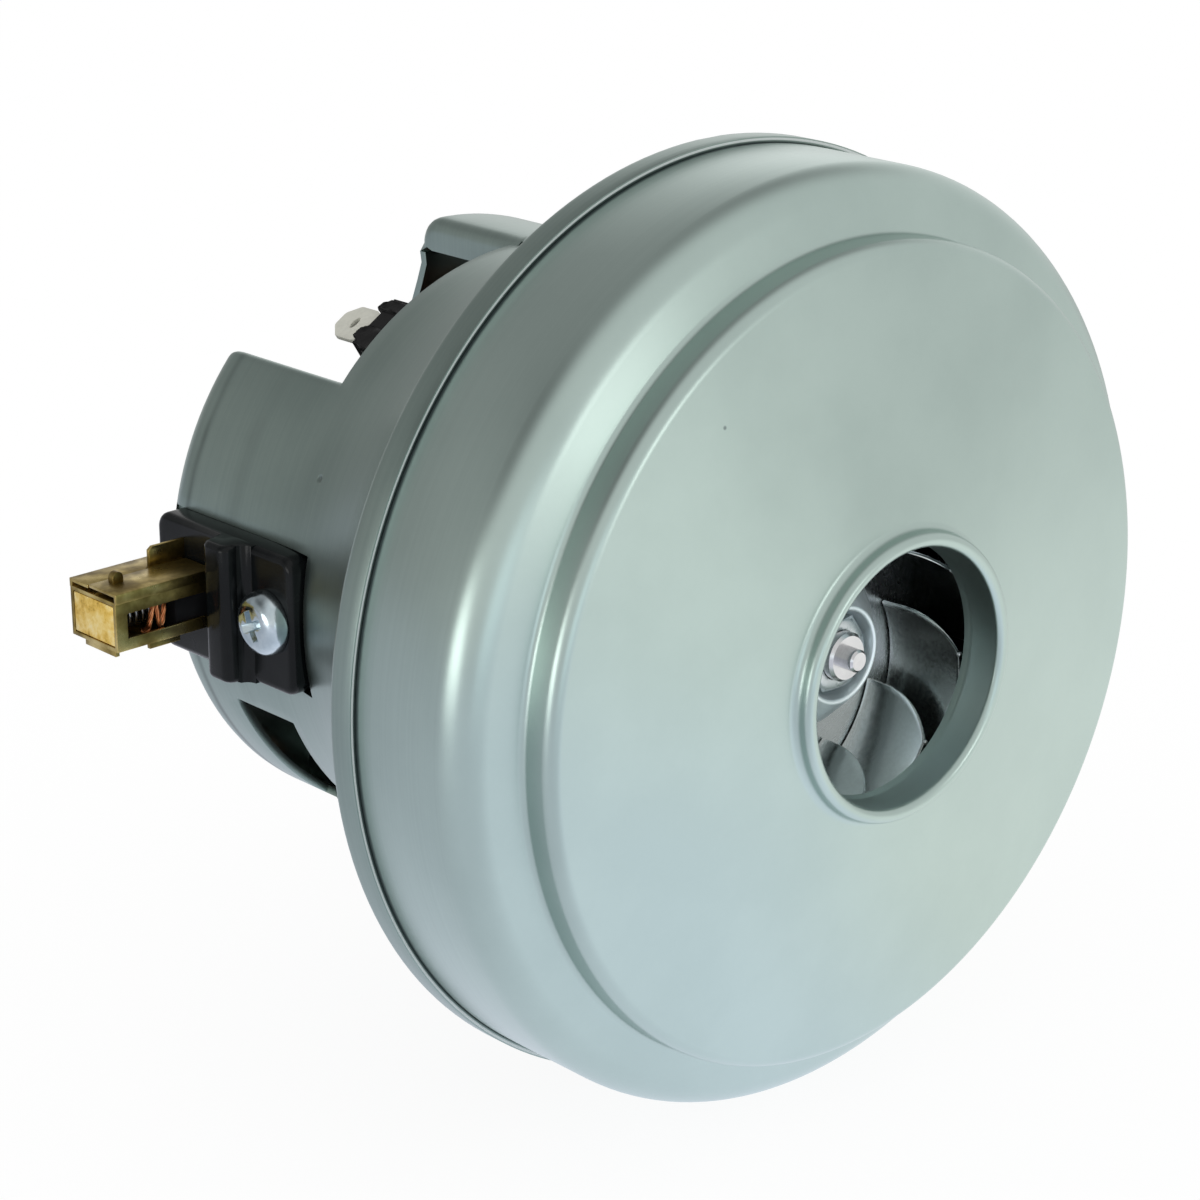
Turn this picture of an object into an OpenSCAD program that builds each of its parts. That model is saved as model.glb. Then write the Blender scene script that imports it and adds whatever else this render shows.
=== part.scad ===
// Vacuum motor unit: a two-pole brush motor in a drawn steel frame, with a fan under a
// pressed steel cover. Sizes in millimetres. The motor axis is Y, the air inlet faces -Y,
// the brush holders are on the X sides, and the origin is on the axis at the front edge
// of the frame's rim. Angles go round the axis from +X towards +Z.

/* [Fan cover] */
// outer radius of the cover's wall
cover_r = 66.7; // [65.5:0.1:70]
// sheet thickness of the cover
cover_t = 0.8; // [0.6:0.05:1]
// length of the straight wall in front of the rim
wall_l = 15.8; // [14:0.1:19]
// outer radius of the rounded corner between wall and front
corner_r = 5.5; // [4.5:0.1:6.5]
// width of the sloping ring between the wall and the step where a seal ring sits
ring_w = 8.7; // [7.7:0.1:9.7]
// straight height of that step
step_l = 2.7; // [2:0.1:4]
// radius of the air inlet
inlet_r = 18.2; // [17:0.1:19]
// radius of the rolled lip round the inlet
lip_r = 1.6; // [1.4:0.05:1.9]
// length of the inlet tube behind the crest of the lip
tube_l = 6.5; // [5:0.1:7]

/* [Frame] */
// outer radius of the can
can_r = 46.2; // [46:0.1:49]
// sheet thickness of the frame
frame_t = 1.2; // [1:0.05:1.4]
// thickness of the rim that is drawn thin round the cover
rim_t = 0.8; // [0.6:0.05:1]
// distance from the front edge of the rim to the rear face
frame_l = 70.6; // [70:0.1:73]
// outer radius of the can's rear corner
rear_r = 5; // [4:0.1:6]
// length of the open windows along the can
window_l = 28.6; // [26.6:0.1:30.6]
// angle of the upper edge of the brush lobe
lobe_a = 136.3; // [134:0.1:139]
// angle of the open edge of the leg
leg_a = 92; // [88:0.1:95]
// width of the turned-in edges along the open windows
lip_w = 4; // [3:0.1:4.5]
// outer radius of the rear bearing boss
boss_r = 12.05; // [12:0.05:14]
// length of the rear bearing boss behind the rear face
boss_l = 9.8; // [9.6:0.1:12]

/* [Motor] */
// room behind the stator and armature stacks for the brush gear
gear_l = 24.6; // [23.6:0.1:26.6]
// front face of the stator stack
stack_y = 18; // [17.6:0.1:18.8]
// air space between the stator core and the can
stator_gap = 4; // [3.2:0.1:4.4]
// radius of the stator bore as a share of the stator's outer radius
bore_share = 0.478; // [0.47:0.001:0.488]
// radial air gap between stator and armature
air_gap = 0.6; // [0.4:0.05:0.9]
// radius of the shaft
shaft_r = 4; // [3.9:0.05:4.4]
// outer radius of the front bearing
bearing_r = 11; // [10.9:0.05:11.5]
// outer radius of the commutator
commutator_r = 13; // [12.5:0.1:13.6]
// commutator bars
bars = 22; // [18:1:24]
// armature slots
slots = 11; // [9:1:12]

/* [Brushes] */
// distance of the brush centre from the rear face
brush_in = 11.55; // [11.2:0.05:12]
// brush size along the motor axis
brush_w = 9.6; // [9:0.1:10]
// brush size across the motor axis
brush_h = 6; // [5.6:0.1:6.4]
// room for the spring between the brush and the outer end of its box
spring_room = 10.6; // [9.5:0.1:12]
// length of the brush box outside the holder
box_l = 17.2; // [16.7:0.1:19.2]
// sheet thickness of the brush box
box_t = 0.6; // [0.5:0.05:0.7]
// height of the holder's outer face above the can
holder_proud = 2.6; // [1.8:0.1:3.8]
// height of the holder plate
holder_h = 20.6; // [19:0.1:22]
// curls of the brush spring
spring_curls = 9; // [8:1:9]
// radius of the spring wire
wire_r = 0.24; // [0.2:0.01:0.26]

/* [Fan] */
// radial gap between the fan and the cover's step
fan_gap = 2.5; // [2:0.1:5]
// sheet thickness of the fan discs
fan_t = 0.8; // [0.6:0.05:1]
// width of the fan at its rim
fan_w = 9; // [8:0.1:9.6]
// gap along the axis between the fan's front disc and the cover
fan_clear = 2.29; // [1.9:0.01:2.9]
// fan vanes and inducer blades
vanes = 9; // [7:1:10]

/* [Hidden] */
$fn = 72;
fit = 0.05;
seat = 0.1;
slope_ring = 15;
slope_face = 9;
fold = 1.5;
lip_fold = 1.2;
cover_in = 2.3;
plate_t = 1.2;
rim_r = cover_r + fit + rim_t;
step_r = cover_r - ring_w;
fan_r = step_r - fan_gap;
stack_end = frame_l - gear_l;
window_y = frame_l - window_l;
brush_y = frame_l - brush_in;
bracket_y = cover_in + seat;
shoulder_y = bracket_y + plate_t + fit;
shoulder_r = rim_r - 2.35;
flare_y = stack_end;
flare_d = shoulder_r - can_r;
flare_h = flare_y - shoulder_y - frame_t;
flare_r = (flare_d * flare_d + flare_h * flare_h) / (2 * flare_d);
flare_a = asin(flare_h / flare_r);
can_in = can_r - frame_t;
leg_r = can_r + 1;
leg_end = frame_l - 8.1;
leg_corner = 4;
leg_from = 62;
slot_from = 23;
slot_to = 55;
slot_y1 = frame_l - 12.6;
slot_y0 = slot_y1 - 13.5;
ring_r = 22;
lip_proud = 0.3;
holder_x = can_r + holder_proud;
flat_x = holder_x - 5.2;
box_end = holder_x + box_l;
brush_end = box_end - spring_room;
stator_r = can_in - stator_gap;
bore_r = bore_share * stator_r;
yoke_w = 0.2537 * stator_r;
core_r = bore_r - air_gap;
coil_in = bore_r + 2.4;
coil_out = stator_r - yoke_w;
coil_end = 7.5;
coil_wall = 5.5;
screw_x = stator_r - 0.51 * yoke_w;
screw_clear = 0.4327 * yoke_w;
tab_a = lobe_a - 14.6;
tab_r = stator_r + 1.3;
tab_w = 6.3;
tab_t = 0.8;
tab_out = 10.3;
terminal_w = 9.4;
front_y0 = bracket_y + plate_t;
front_y1 = front_y0 + 6.95;
rear_y0 = frame_l + 0.3;
rear_y1 = rear_y0 + 6;
rear_bearing_r = 9.5;
rear_shaft_r = shaft_r - 0.5;
bars_y0 = brush_y - brush_w / 2 - 1.85;
bars_y1 = brush_y + brush_w / 2 + 2.5;
bar_gap = 0.6;
brush_gap = 0.3;
brush_play = 0.1;
box_w = brush_w + 2 * brush_play + 2 * box_t;
box_h = brush_h + 2 * brush_play + 2 * box_t;
box_in = commutator_r + 3;
sleeve_t = 1.1;
holder_y0 = brush_y - 21.75;
holder_y1 = brush_y + 10.15;
holder_screw_y = brush_y - 16.95;
screw_head_r = 4.7;
rib_r = 4;
rib_y = brush_y - box_w / 2 - rib_r + 0.2;
cap_t = 0.8;
spring_r = 2.2;
spring_out = box_end - fit - cap_t - wire_r - 0.05;
spring_in = brush_end + wire_r + 0.05;
curl_rings = 8;
tube_sides = 6;
fan_slope = tan(slope_face);
eye_r = inlet_r + cover_t + 1;
diffuser_y1 = bracket_y - seat;
diffuser_t = 2.5;
diffuser_r = cover_r - cover_t - 0.5;
retainer_t = 1.15;
screw_ring = cover_r - 14.7;

function polar(r, a) = [r * cos(a), r * sin(a)];
function arc(c, r, a0, a1, n) = [for (i = [0:n]) c + polar(r, a0 + (a1 - a0) * i / n)];
function back(points) = [for (i = [len(points) - 1:-1:0]) points[i]];

// A body turned about the motor axis from points given as radius and place along Y.
module turned(points, from = 0, sweep = 360) {
    rotate([90, 0, 0])
        rotate([0, 0, from])
            rotate_extrude(angle = sweep)
                polygon([for (p = points) [p[0], -p[1]]]);
}

module ring(r0, r1, y0, y1, from = 0, sweep = 360) {
    turned([[r0, y0], [r1, y0], [r1, y1], [r0, y1]], from, sweep);
}

module rod(r, y0, y1) {
    translate([0, y1, 0])
        rotate([90, 0, 0])
            cylinder(h = y1 - y0, r = r);
}

module along_y(y0, y1) {
    translate([0, y1, 0])
        rotate([90, 0, 0])
            linear_extrude(y1 - y0)
                children();
}

module block(x0, x1, y0, y1, z0, z1) {
    translate([x0, y0, z0])
        cube([x1 - x0, y1 - y0, z1 - z0]);
}

// The same piece again, half a turn round the motor axis.
module opposite() {
    rotate([0, 180, 0])
        children();
}

module both() {
    children();
    opposite()
        children();
}

// Fan cover: wall, rounded corner, sloping ring, step, shallow cone, rolled lip and inlet tube.
c1 = [cover_r - corner_r, wall_l];
p1 = c1 + polar(corner_r, 90 - slope_ring);
t2 = step_r + fold - fold * cos(90 - slope_ring);
c2 = [step_r + fold, p1[1] + (p1[0] - t2) * tan(slope_ring) + fold * sin(90 - slope_ring)];
c3 = [step_r - fold, c2[1] + step_l];
p3 = c3 + polar(fold, 90 - slope_face);
t4 = inlet_r + 2 * lip_r + lip_fold - lip_fold * cos(90 - slope_face);
c4 = [inlet_r + 2 * lip_r + lip_fold,
    p3[1] + (p3[0] - t4) * tan(slope_face) + lip_fold * sin(90 - slope_face)];
c5 = [inlet_r + lip_r, c4[1] + 0.1];
crest = c5[1] + lip_r;
tube_end = crest - tube_l;
fan_front = c3[1] + (fold - cover_t) * sin(90 - slope_face) - fan_clear;
fan_back = fan_front - fan_w;
diffuser_y0 = fan_t - fan_back + 3.3;

function cover_path(t) = concat([[cover_r - t, -cover_in]],
    arc(c1, corner_r - t, 0, 90 - slope_ring, 8),
    arc(c2, fold + t, 270 - slope_ring, 180, 5),
    arc(c3, fold - t, 0, 90 - slope_face, 5),
    arc(c4, lip_fold + t, 270 - slope_face, 180, 5),
    arc(c5, lip_r - t, 0, 180, 10),
    [[inlet_r + t, tube_end]]);

module fan_cover() {
    color("silver")
        turned([for (p = concat(cover_path(0), back(cover_path(cover_t)))) [p[0], -p[1]]]);
}

// Motor frame: rim round the cover, flare, can with two brush lobes and two legs, rear face, bearing boss.
c6 = [rim_r - 1.5, shoulder_y + frame_t - 1.5];
c7 = [can_r + flare_r, flare_y];
c8 = [can_r - rear_r, frame_l - rear_r];
flare_in = asin((flare_y - shoulder_y) / (flare_r + frame_t));

module frame_shell() {
    turned(concat([[rim_r, 0]],
        arc(c6, 1.5, 0, 90, 4),
        arc(c7, flare_r, 180 + flare_a, 180, 14),
        arc(c8, rear_r, 0, 90, 6),
        [[boss_r, frame_l], [boss_r, frame_l + boss_l], [0, frame_l + boss_l]],
        [[0, frame_l + boss_l - frame_t], [boss_r - frame_t, frame_l + boss_l - frame_t]],
        [[boss_r - frame_t, frame_l - frame_t]],
        arc(c8, rear_r - frame_t, 90, 0, 6),
        arc(c7, flare_r + frame_t, 180, 180 + flare_in, 14),
        [[cover_r + fit, shoulder_y], [cover_r + fit, 0]]));
}

c9 = [leg_r - leg_corner, leg_end - leg_corner];
leg_slope = 70;

module leg() {
    outer = arc(c9, leg_corner, 0, leg_slope, 5);
    inner = arc(c9, leg_corner - frame_t, leg_slope, 0, 5);
    run = (outer[5][0] - ring_r + 1) / tan(leg_slope);
    turned(concat([[leg_r, flare_y - 10]], outer, [[ring_r - 1, outer[5][1] + run]],
        [[ring_r - 1, outer[5][1] + run - frame_t * 1.06]], inner, [[leg_r - frame_t, flare_y - 10]]),
        leg_from - 1, leg_a - leg_from + 1);
    edge = 2 * asin(frame_t / (2 * can_r));
    lip_in = leg_r - frame_t - lip_w + 0.9;
    turned([[lip_in, window_y - 1], [leg_r - 0.4, window_y - 1], [leg_r - 0.4, leg_end - leg_corner],
        [leg_r - 2, leg_end - 1.6], [lip_in, leg_end - 0.6]],
        leg_a - edge, edge + lip_proud);
    turned([[can_in + 0.3, slot_y1 - 2], [can_in + 0.3, frame_l - rear_r], [can_r - rear_r, frame_l - 0.6],
        [ring_r, frame_l - 0.6], [ring_r, frame_l - 1], [leg_r - leg_corner, leg_end - 0.6]],
        leg_from - 2 * edge, 2 * edge);
}

module lobe_edge() {
    edge = 2 * asin(frame_t / (2 * can_r));
    lip_in = can_in - lip_w + 0.9;
    lip_y = frame_l - lip_w + 0.4;
    turned(concat([[lip_in, window_y - 1], [can_r - 0.4, window_y - 1]],
        arc(c8, rear_r - 0.4, 0, 90, 6),
        [[ring_r, frame_l - 0.4], [ring_r, lip_y], [can_r - rear_r - 2, lip_y],
            [lip_in, frame_l - rear_r - 1]]),
        lobe_a - lip_proud, edge + lip_proud);
}

// Flat seat for a brush holder, pressed into the lobe on the -X side.
module holder_seat() {
    h = holder_h / 2;
    block(-flat_x, frame_t - flat_x, holder_y0 - 1.4, frame_l - 0.3, -h - 1.5, h + 1.5);
    intersection() {
        block(-can_r - 1.2, frame_t - flat_x, holder_y0 - 1.4, holder_y0 - 0.3, -h - 0.4, h + 0.4);
        ring(10, can_r + 0.9, holder_y0 - 3, holder_y0 + 1);
    }
}

module holder_cut() {
    block(-can_r - 5, -flat_x, holder_y0 - 0.3, frame_l + 5, -holder_h / 2 - 0.3, holder_h / 2 + 0.3);
}

module holder_holes() {
    block(-can_r, -flat_x + 5, brush_y - box_w / 2 - sleeve_t - 0.2, brush_y + box_w / 2 + sleeve_t + 0.2,
        -box_h / 2 - sleeve_t - 0.2, box_h / 2 + sleeve_t + 0.2);
    translate([-flat_x - 1, holder_screw_y, 0])
        rotate([0, 90, 0])
            cylinder(h = frame_t + 2, r = 2.15);
}

module motor_frame() {
    color("lightsteelblue")
        difference() {
            union() {
                difference() {
                    frame_shell();
                    both() {
                        ring(ring_r, leg_r + 8, window_y, frame_l + 4, leg_from, lobe_a - leg_from);
                        ring(can_in - 2, can_r + 4, slot_y0, slot_y1, slot_from, slot_to - slot_from);
                        holder_cut();
                    }
                }
                both() {
                    leg();
                    lobe_edge();
                    holder_seat();
                }
            }
            both()
                holder_holes();
        }
}

// Front bracket: pressed plate with the front bearing's pocket and air windows.
module at_ring(r, angles) {
    for (a = angles)
        rotate([0, -a, 0])
            translate([r, 0, 0])
                children();
}

module front_bracket() {
    pocket = bearing_r + fit;
    color("gainsboro")
        difference() {
            turned([[pocket, bracket_y], [cover_r - 0.1, bracket_y], [cover_r - 0.1, bracket_y + plate_t],
                [pocket + plate_t, bracket_y + plate_t], [pocket + plate_t, front_y1 + plate_t + fit],
                [bearing_r - 4.5, front_y1 + plate_t + fit], [bearing_r - 4.5, front_y1 + fit],
                [pocket, front_y1 + fit]]);
            for (i = [0:5])
                ring(bearing_r + 10, screw_ring - 6, bracket_y - 1, bracket_y + plate_t + 1,
                    8 + 60 * i, 44);
            at_ring(screw_x, [0, 180])
                rod(2.05, bracket_y - 1, bracket_y + plate_t + 1);
            at_ring(screw_ring, [60, 180, 300])
                rod(1.55, bracket_y - 1, bracket_y + plate_t + 1);
            at_ring(bearing_r + 4.7, [90, 270])
                rod(1.55, bracket_y - 1, bracket_y + plate_t + 1);
        }
}

module bearing_retainer() {
    color("gray")
        difference() {
            ring(bearing_r - 2.2, bearing_r + 8, bracket_y - retainer_t, bracket_y - fit);
            at_ring(bearing_r + 4.7, [90, 270])
                rod(1.55, bracket_y - 2 * retainer_t, bracket_y + 1);
        }
}

module retainer_screws() {
    head = bracket_y - retainer_t - fit;
    color("silver")
        at_ring(bearing_r + 4.7, [90, 270]) {
            rod(2.8, head - 1.8, head);
            rod(1.5, head - 1, bracket_y + plate_t);
        }
}

// Diffuser: disc behind the fan with vanes that lead the air back to the bracket's windows.
module guide_vane() {
    n = 8;
    inside = 22;
    w = 1.6;
    side = [for (i = [0:n]) [inside + (diffuser_r - inside) * i / n, -52 * i / n]];
    polygon(concat([for (p = side) polar(p[0], p[1] + w * 28.65 / p[0])],
        back([for (p = side) polar(p[0], p[1] - w * 28.65 / p[0])])));
}

module diffuser() {
    color("dimgray")
        difference() {
            union() {
                ring(14, fan_r + 1.5, diffuser_y0, diffuser_y0 + diffuser_t);
                for (i = [0:11])
                    rotate([0, 30 * i + 15, 0])
                        along_y(diffuser_y0 + 0.2, diffuser_y1)
                            guide_vane();
                at_ring(screw_ring, [60, 180, 300])
                    rod(4.2, diffuser_y0 + 1, diffuser_y1);
            }
            at_ring(screw_ring, [60, 180, 300]) {
                rod(1.6, diffuser_y0 - 1, diffuser_y1 + 1);
                rod(3.8, diffuser_y0 - 1, diffuser_y0 + 2.1);
            }
        }
}

module diffuser_screws() {
    color("silver")
        at_ring(screw_ring, [60, 180, 300]) {
            rod(3.4, diffuser_y0 + 0.1, diffuser_y0 + 2.05);
            rod(1.5, diffuser_y0 + 1, bracket_y + plate_t);
        }
}

// Stator: two-pole laminated core, a coil round each pole, plastic coil frames on both faces.
module stator_core() {
    color("slategray")
        difference() {
            intersection() {
                ring(bore_r, stator_r, stack_y, stack_end);
                block(-stator_r - 1, stator_r + 1, stack_y - 1, stack_end + 1, 5 - stator_r, stator_r - 5);
            }
            both() {
                ring(coil_in - 0.6, coil_out + 0.6, stack_y - 1, stack_end + 1, -50, 100);
                ring(bore_r - 1, coil_in, stack_y - 1, stack_end + 1, -28, 56);
                translate([screw_x, 0, 0])
                    rod(2.1, stack_y - 1, stack_end + 1);
            }
        }
}

module field_coil() {
    difference() {
        ring(coil_in, coil_out, stack_y - coil_end, stack_end + coil_end, 18, 144);
        ring(coil_in - 1, coil_out + 1, stack_y - 0.7, stack_end + 0.7, 47, 86);
    }
}

module field_coil_upper() {
    color("peru")
        field_coil();
}

module field_coil_lower() {
    color("peru")
        opposite()
            field_coil();
}

module coil_frame_plate(y0, y1, wall0, wall1) {
    difference() {
        union() {
            intersection() {
                ring(coil_out + 0.2, stator_r - 0.4, y0, y1);
                block(-stator_r, stator_r, y0 - 1, y1 + 1, 5.4 - stator_r, stator_r - 5.4);
            }
            ring(coil_out + 0.2, coil_out + 1.8, wall0, wall1);
        }
        at_ring(screw_x, [0, 180])
            rod(screw_clear, min(y0, wall0) - 1, max(y1, wall1) + 1);
    }
}

module coil_frame_front() {
    color("black")
        coil_frame_plate(stack_y - 1.4, stack_y - fit, stack_y - coil_end + 0.5, stack_y - 0.5);
}

module terminal_block() {
    w = terminal_w / 2;
    rotate([0, -tab_a, 0])
        difference() {
            union() {
                block(stator_r + 0.15, tab_r + 2.1, stack_end - 8, stack_end + 1.6, -w, w);
                block(stator_r - 3, tab_r + 1, stack_end + fit, stack_end + 1.6, -w, w);
            }
            block(tab_r - tab_t / 2 - fit, tab_r + tab_t / 2 + fit, stack_end - 2.5, stack_end + 3,
                -tab_w / 2 - fit, tab_w / 2 + fit);
        }
}

module coil_frame_rear() {
    color("black") {
        coil_frame_plate(stack_end + fit, stack_end + 1.4, stack_end + 0.5, stack_end + coil_wall);
        both()
            terminal_block();
    }
}

module terminal_tab() {
    y0 = stack_end - 2.4;
    y1 = stack_end + tab_out;
    w = tab_w / 2;
    rotate([0, -tab_a, 0])
        translate([tab_r + tab_t / 2, 0, 0])
            rotate([0, -90, 0])
                linear_extrude(tab_t)
                    difference() {
                        polygon([[-w, y0], [w, y0], [w, y1 - 1.6], [w - 1.15, y1],
                            [1.15 - w, y1], [-w, y1 - 1.6]]);
                        translate([0, y1 - 4])
                            circle(r = 0.9);
                    }
}

module terminal_tab_upper() {
    color("silver")
        terminal_tab();
}

module terminal_tab_lower() {
    color("silver")
        opposite()
            terminal_tab();
}

module stator_screws() {
    color("silver")
        at_ring(screw_x, [0, 180]) {
            rod(screw_clear - 0.7, stack_end + fit, stack_end + 2.7);
            rod(2, bracket_y + 0.1, stack_end + 1);
        }
}

module stator_spacers() {
    color("silver")
        at_ring(screw_x, [0, 180])
            ring(2.2, screw_clear - 0.5, bracket_y + plate_t + fit, stack_y - fit);
}

// Ball bearings: the outer rings and shields stand still, the inner rings turn with the shaft.
module race(r0, r1, y0, y1) {
    ring(r0, r1, y0, y1);
}

module shields(r0, r1, y0, y1) {
    ring(r0, r1, y0 + 0.15, y0 + 0.4);
    ring(r0, r1, y1 - 0.4, y1 - 0.15);
}

module balls(pitch, r, y, count) {
    at_ring(pitch, [for (i = [0:count - 1]) 360 * i / count])
        translate([0, y, 0])
            sphere(r = r, $fn = 24);
}

module cage(pitch, r, y, count) {
    difference() {
        ring(pitch - 0.6, pitch + 0.6, y - 0.4, y + r + 0.6);
        at_ring(pitch, [for (i = [0:count - 1]) 360 * i / count])
            rod(r + 0.08, y - 1, y + r + 0.08);
    }
}

front_hole = shaft_r + 0.02;
front_in = shaft_r + 1.9;
front_out = bearing_r - 1.8;
front_pitch = (front_in + front_out) / 2;
front_ball = (front_out - front_in) / 2 - 0.35;
front_mid = (front_y0 + front_y1) / 2;
rear_hole = rear_shaft_r + 0.02;
rear_in = rear_shaft_r + 1.6;
rear_out = rear_bearing_r - 1.6;
rear_pitch = (rear_in + rear_out) / 2;
rear_ball = (rear_out - rear_in) / 2 - 0.35;
rear_mid = (rear_y0 + rear_y1) / 2;

module front_bearing_outer() {
    color("silver")
        race(front_out, bearing_r, front_y0, front_y1);
}

module front_bearing_inner() {
    color("silver")
        race(front_hole, front_in, front_y0, front_y1);
}

module front_bearing_shields() {
    color("gray")
        shields(front_in + 0.35, front_out - 0.02, front_y0, front_y1);
}

module front_bearing_balls() {
    color("white")
        balls(front_pitch, front_ball, front_mid, 8);
}

module front_bearing_cage() {
    color("tan")
        cage(front_pitch, front_ball, front_mid, 8);
}

module rear_bearing_outer() {
    color("silver")
        race(rear_out, rear_bearing_r, rear_y0, rear_y1);
}

module rear_bearing_inner() {
    color("silver")
        race(rear_hole, rear_in, rear_y0, rear_y1);
}

module rear_bearing_shields() {
    color("gray")
        shields(rear_in + 0.35, rear_out - 0.02, rear_y0, rear_y1);
}

module rear_bearing_balls() {
    color("white")
        balls(rear_pitch, rear_ball, rear_mid, 7);
}

module rear_bearing_cage() {
    color("tan")
        cage(rear_pitch, rear_ball, rear_mid, 7);
}

module rear_bearing_cushion() {
    color("black")
        ring(rear_bearing_r + fit, boss_r - frame_t - fit, rear_y0, rear_y1 + 0.5);
}

// Brush gear on the -X side. The +X side is the same half a turn round the motor axis.
function rounded(y0, y1, z0, z1, r) = concat(
    arc([y1 - r, z1 - r], r, 0, 90, 4),
    arc([y0 + r, z1 - r], r, 90, 180, 4),
    arc([y0 + r, z0 + r], r, 180, 270, 4),
    arc([y1 - r, z0 + r], r, 270, 360, 4));

module brush_holder() {
    w = box_w / 2 + sleeve_t;
    h = box_h / 2 + sleeve_t;
    difference() {
        union() {
            translate([-holder_x, 0, 0])
                rotate([90, 0, 90])
                    linear_extrude(holder_x - flat_x - fit)
                        polygon(rounded(holder_y0, holder_y1, -holder_h / 2, holder_h / 2, 2));
            intersection() {
                translate([-holder_x, rib_y, 0.4 - holder_h / 2])
                    cylinder(h = holder_h - 0.8, r = rib_r);
                block(-holder_x - rib_r - 1, 0.5 - holder_x, rib_y - 5, rib_y + 5, -holder_h, holder_h);
            }
            block(-flat_x - 1, -box_in - 6, brush_y - w, brush_y + w, -h, h);
        }
        block(-holder_x - 8, 0, brush_y - box_w / 2 - fit, brush_y + box_w / 2 + fit,
            -box_h / 2 - fit, box_h / 2 + fit);
        translate([-holder_x - 1, holder_screw_y, 0])
            rotate([0, 90, 0])
                cylinder(h = 8, r = 2.3);
        translate([-holder_x - rib_r - 1, holder_screw_y, 0])
            rotate([0, 90, 0])
                cylinder(h = rib_r + 1, r = screw_head_r + 0.15);
    }
}

module brush_holder_left() {
    color("black")
        brush_holder();
}

module brush_holder_right() {
    color("black")
        opposite()
            brush_holder();
}

module holder_screw() {
    tip = holder_x - stator_r - 0.4;
    translate([-holder_x, holder_screw_y, 0])
        rotate([0, 90, 0])
            difference() {
                rotate_extrude()
                    polygon(concat([[0, tip], [2.1, tip], [2.1, -fit], [screw_head_r, -fit]],
                        arc([screw_head_r - 2.9, -0.8], 2.9, 360, 270, 6), [[0, -3.7]]));
                translate([-0.45, -2.4, -5])
                    cube([0.9, 4.8, 3]);
                translate([-2.4, -0.45, -5])
                    cube([4.8, 0.9, 3]);
            }
}

module holder_screws() {
    color("silver")
        both()
            holder_screw();
}

// Folded brass box with a slot in the side that faces the fan, a top seam, a flag and bent tabs.
module brush_box() {
    w = box_w / 2;
    h = box_h / 2;
    near = brush_y - w;
    difference() {
        block(-box_end, -box_in, near, brush_y + w, -h, h);
        block(-box_end - 1, -box_in + 1, near + box_t, brush_y + w - box_t, box_t - h, h - box_t);
        block(2 - box_end, 20 - box_end, near - 1, near + box_t + 0.5, -h + 1.6, h - 1.6);
        block(3.5 - box_end, 17 - box_end, brush_y - 2.6, brush_y - 0.8, h - box_t - 0.5, h + 1);
    }
    block(6.5 - box_end, 15.5 - box_end, brush_y + 1.4, brush_y + 2, h - 0.2, h + 3.3);
    block(3.2 - box_end, 4.6 - box_end, brush_y - 0.6, brush_y + 0.4, h - 0.2, h + 1.4);
    block(0.6 - box_end, 1.2 - box_end, brush_y - 3, brush_y + 3, -h - 1, 0.2 - h);
    block(8.5 - box_end, 12 - box_end, brush_y - 3, brush_y - 2.4, -h - 1.1, 0.2 - h);
}

module brush_box_left() {
    color("goldenrod")
        brush_box();
}

module brush_box_right() {
    color("goldenrod")
        opposite()
            brush_box();
}

module box_cap() {
    w = box_w / 2 - box_t - fit;
    h = box_h / 2 - box_t - fit;
    block(fit - box_end, fit + cap_t - box_end, brush_y - w, brush_y + w, -h, h);
}

module box_cap_left() {
    color("gold")
        box_cap();
}

module box_cap_right() {
    color("gold")
        opposite()
            box_cap();
}

module carbon_brush() {
    difference() {
        block(-brush_end, -commutator_r / 2, brush_y - brush_w / 2, brush_y + brush_w / 2,
            -brush_h / 2, brush_h / 2);
        rod(commutator_r + brush_gap, brush_y - brush_w, brush_y + brush_w);
    }
}

module carbon_brush_left() {
    color("dimgray")
        carbon_brush();
}

module carbon_brush_right() {
    color("dimgray")
        opposite()
            carbon_brush();
}

// One unbroken tube along a path: rings of points, each square to the path.
function unit(v) = v / norm(v);
function along(path, i) = unit(path[min(i + 1, len(path) - 1)] - path[max(i - 1, 0)]);
function tube_ring(path, i, r, up) =
    let (d = along(path, i), a = unit(cross(d, up)), b = cross(d, a))
    [for (k = [0:tube_sides - 1])
        let (p = polar(r, 360 * k / tube_sides))
        path[i] + a * p[0] + b * p[1]];
function wall(n) = [for (i = [0:n - 2]) for (k = [0:tube_sides - 1]) for (h = [0:1])
    let (p = i * tube_sides + k, q = i * tube_sides + (k + 1) % tube_sides)
    h == 0 ? [p, q, q + tube_sides] : [p, q + tube_sides, p + tube_sides]];
function lid(first) = [for (k = [1:tube_sides - 2]) [first, first + k, first + k + 1]];
function flip(faces) = [for (f = faces) [f[0], f[2], f[1]]];

module wire(path, r, up) {
    n = len(path);
    points = [for (i = [0:n - 1]) each tube_ring(path, i, r, up)];
    polyhedron(points = points, faces = concat(flip(lid(0)), wall(n), lid((n - 1) * tube_sides)));
}

spring_rings = spring_curls * curl_rings;
spring_path = [for (i = [0:spring_rings])
    [-spring_out + (spring_out - spring_in) * i / spring_rings,
        brush_y + spring_r * cos(360 * i / curl_rings), spring_r * sin(360 * i / curl_rings)]];
spring_gap = min([for (i = [0:curl_rings]) for (j = [curl_rings - 2:curl_rings + 2])
    norm(spring_path[i + j] - spring_path[i])]) - 2 * wire_r;
echo(spring_gap = spring_gap);

module brush_spring_left() {
    color("gray")
        wire(spring_path, wire_r, [1, 0, 0]);
}

module brush_spring_right() {
    color("gray")
        opposite()
            wire(spring_path, wire_r, [1, 0, 0]);
}

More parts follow.
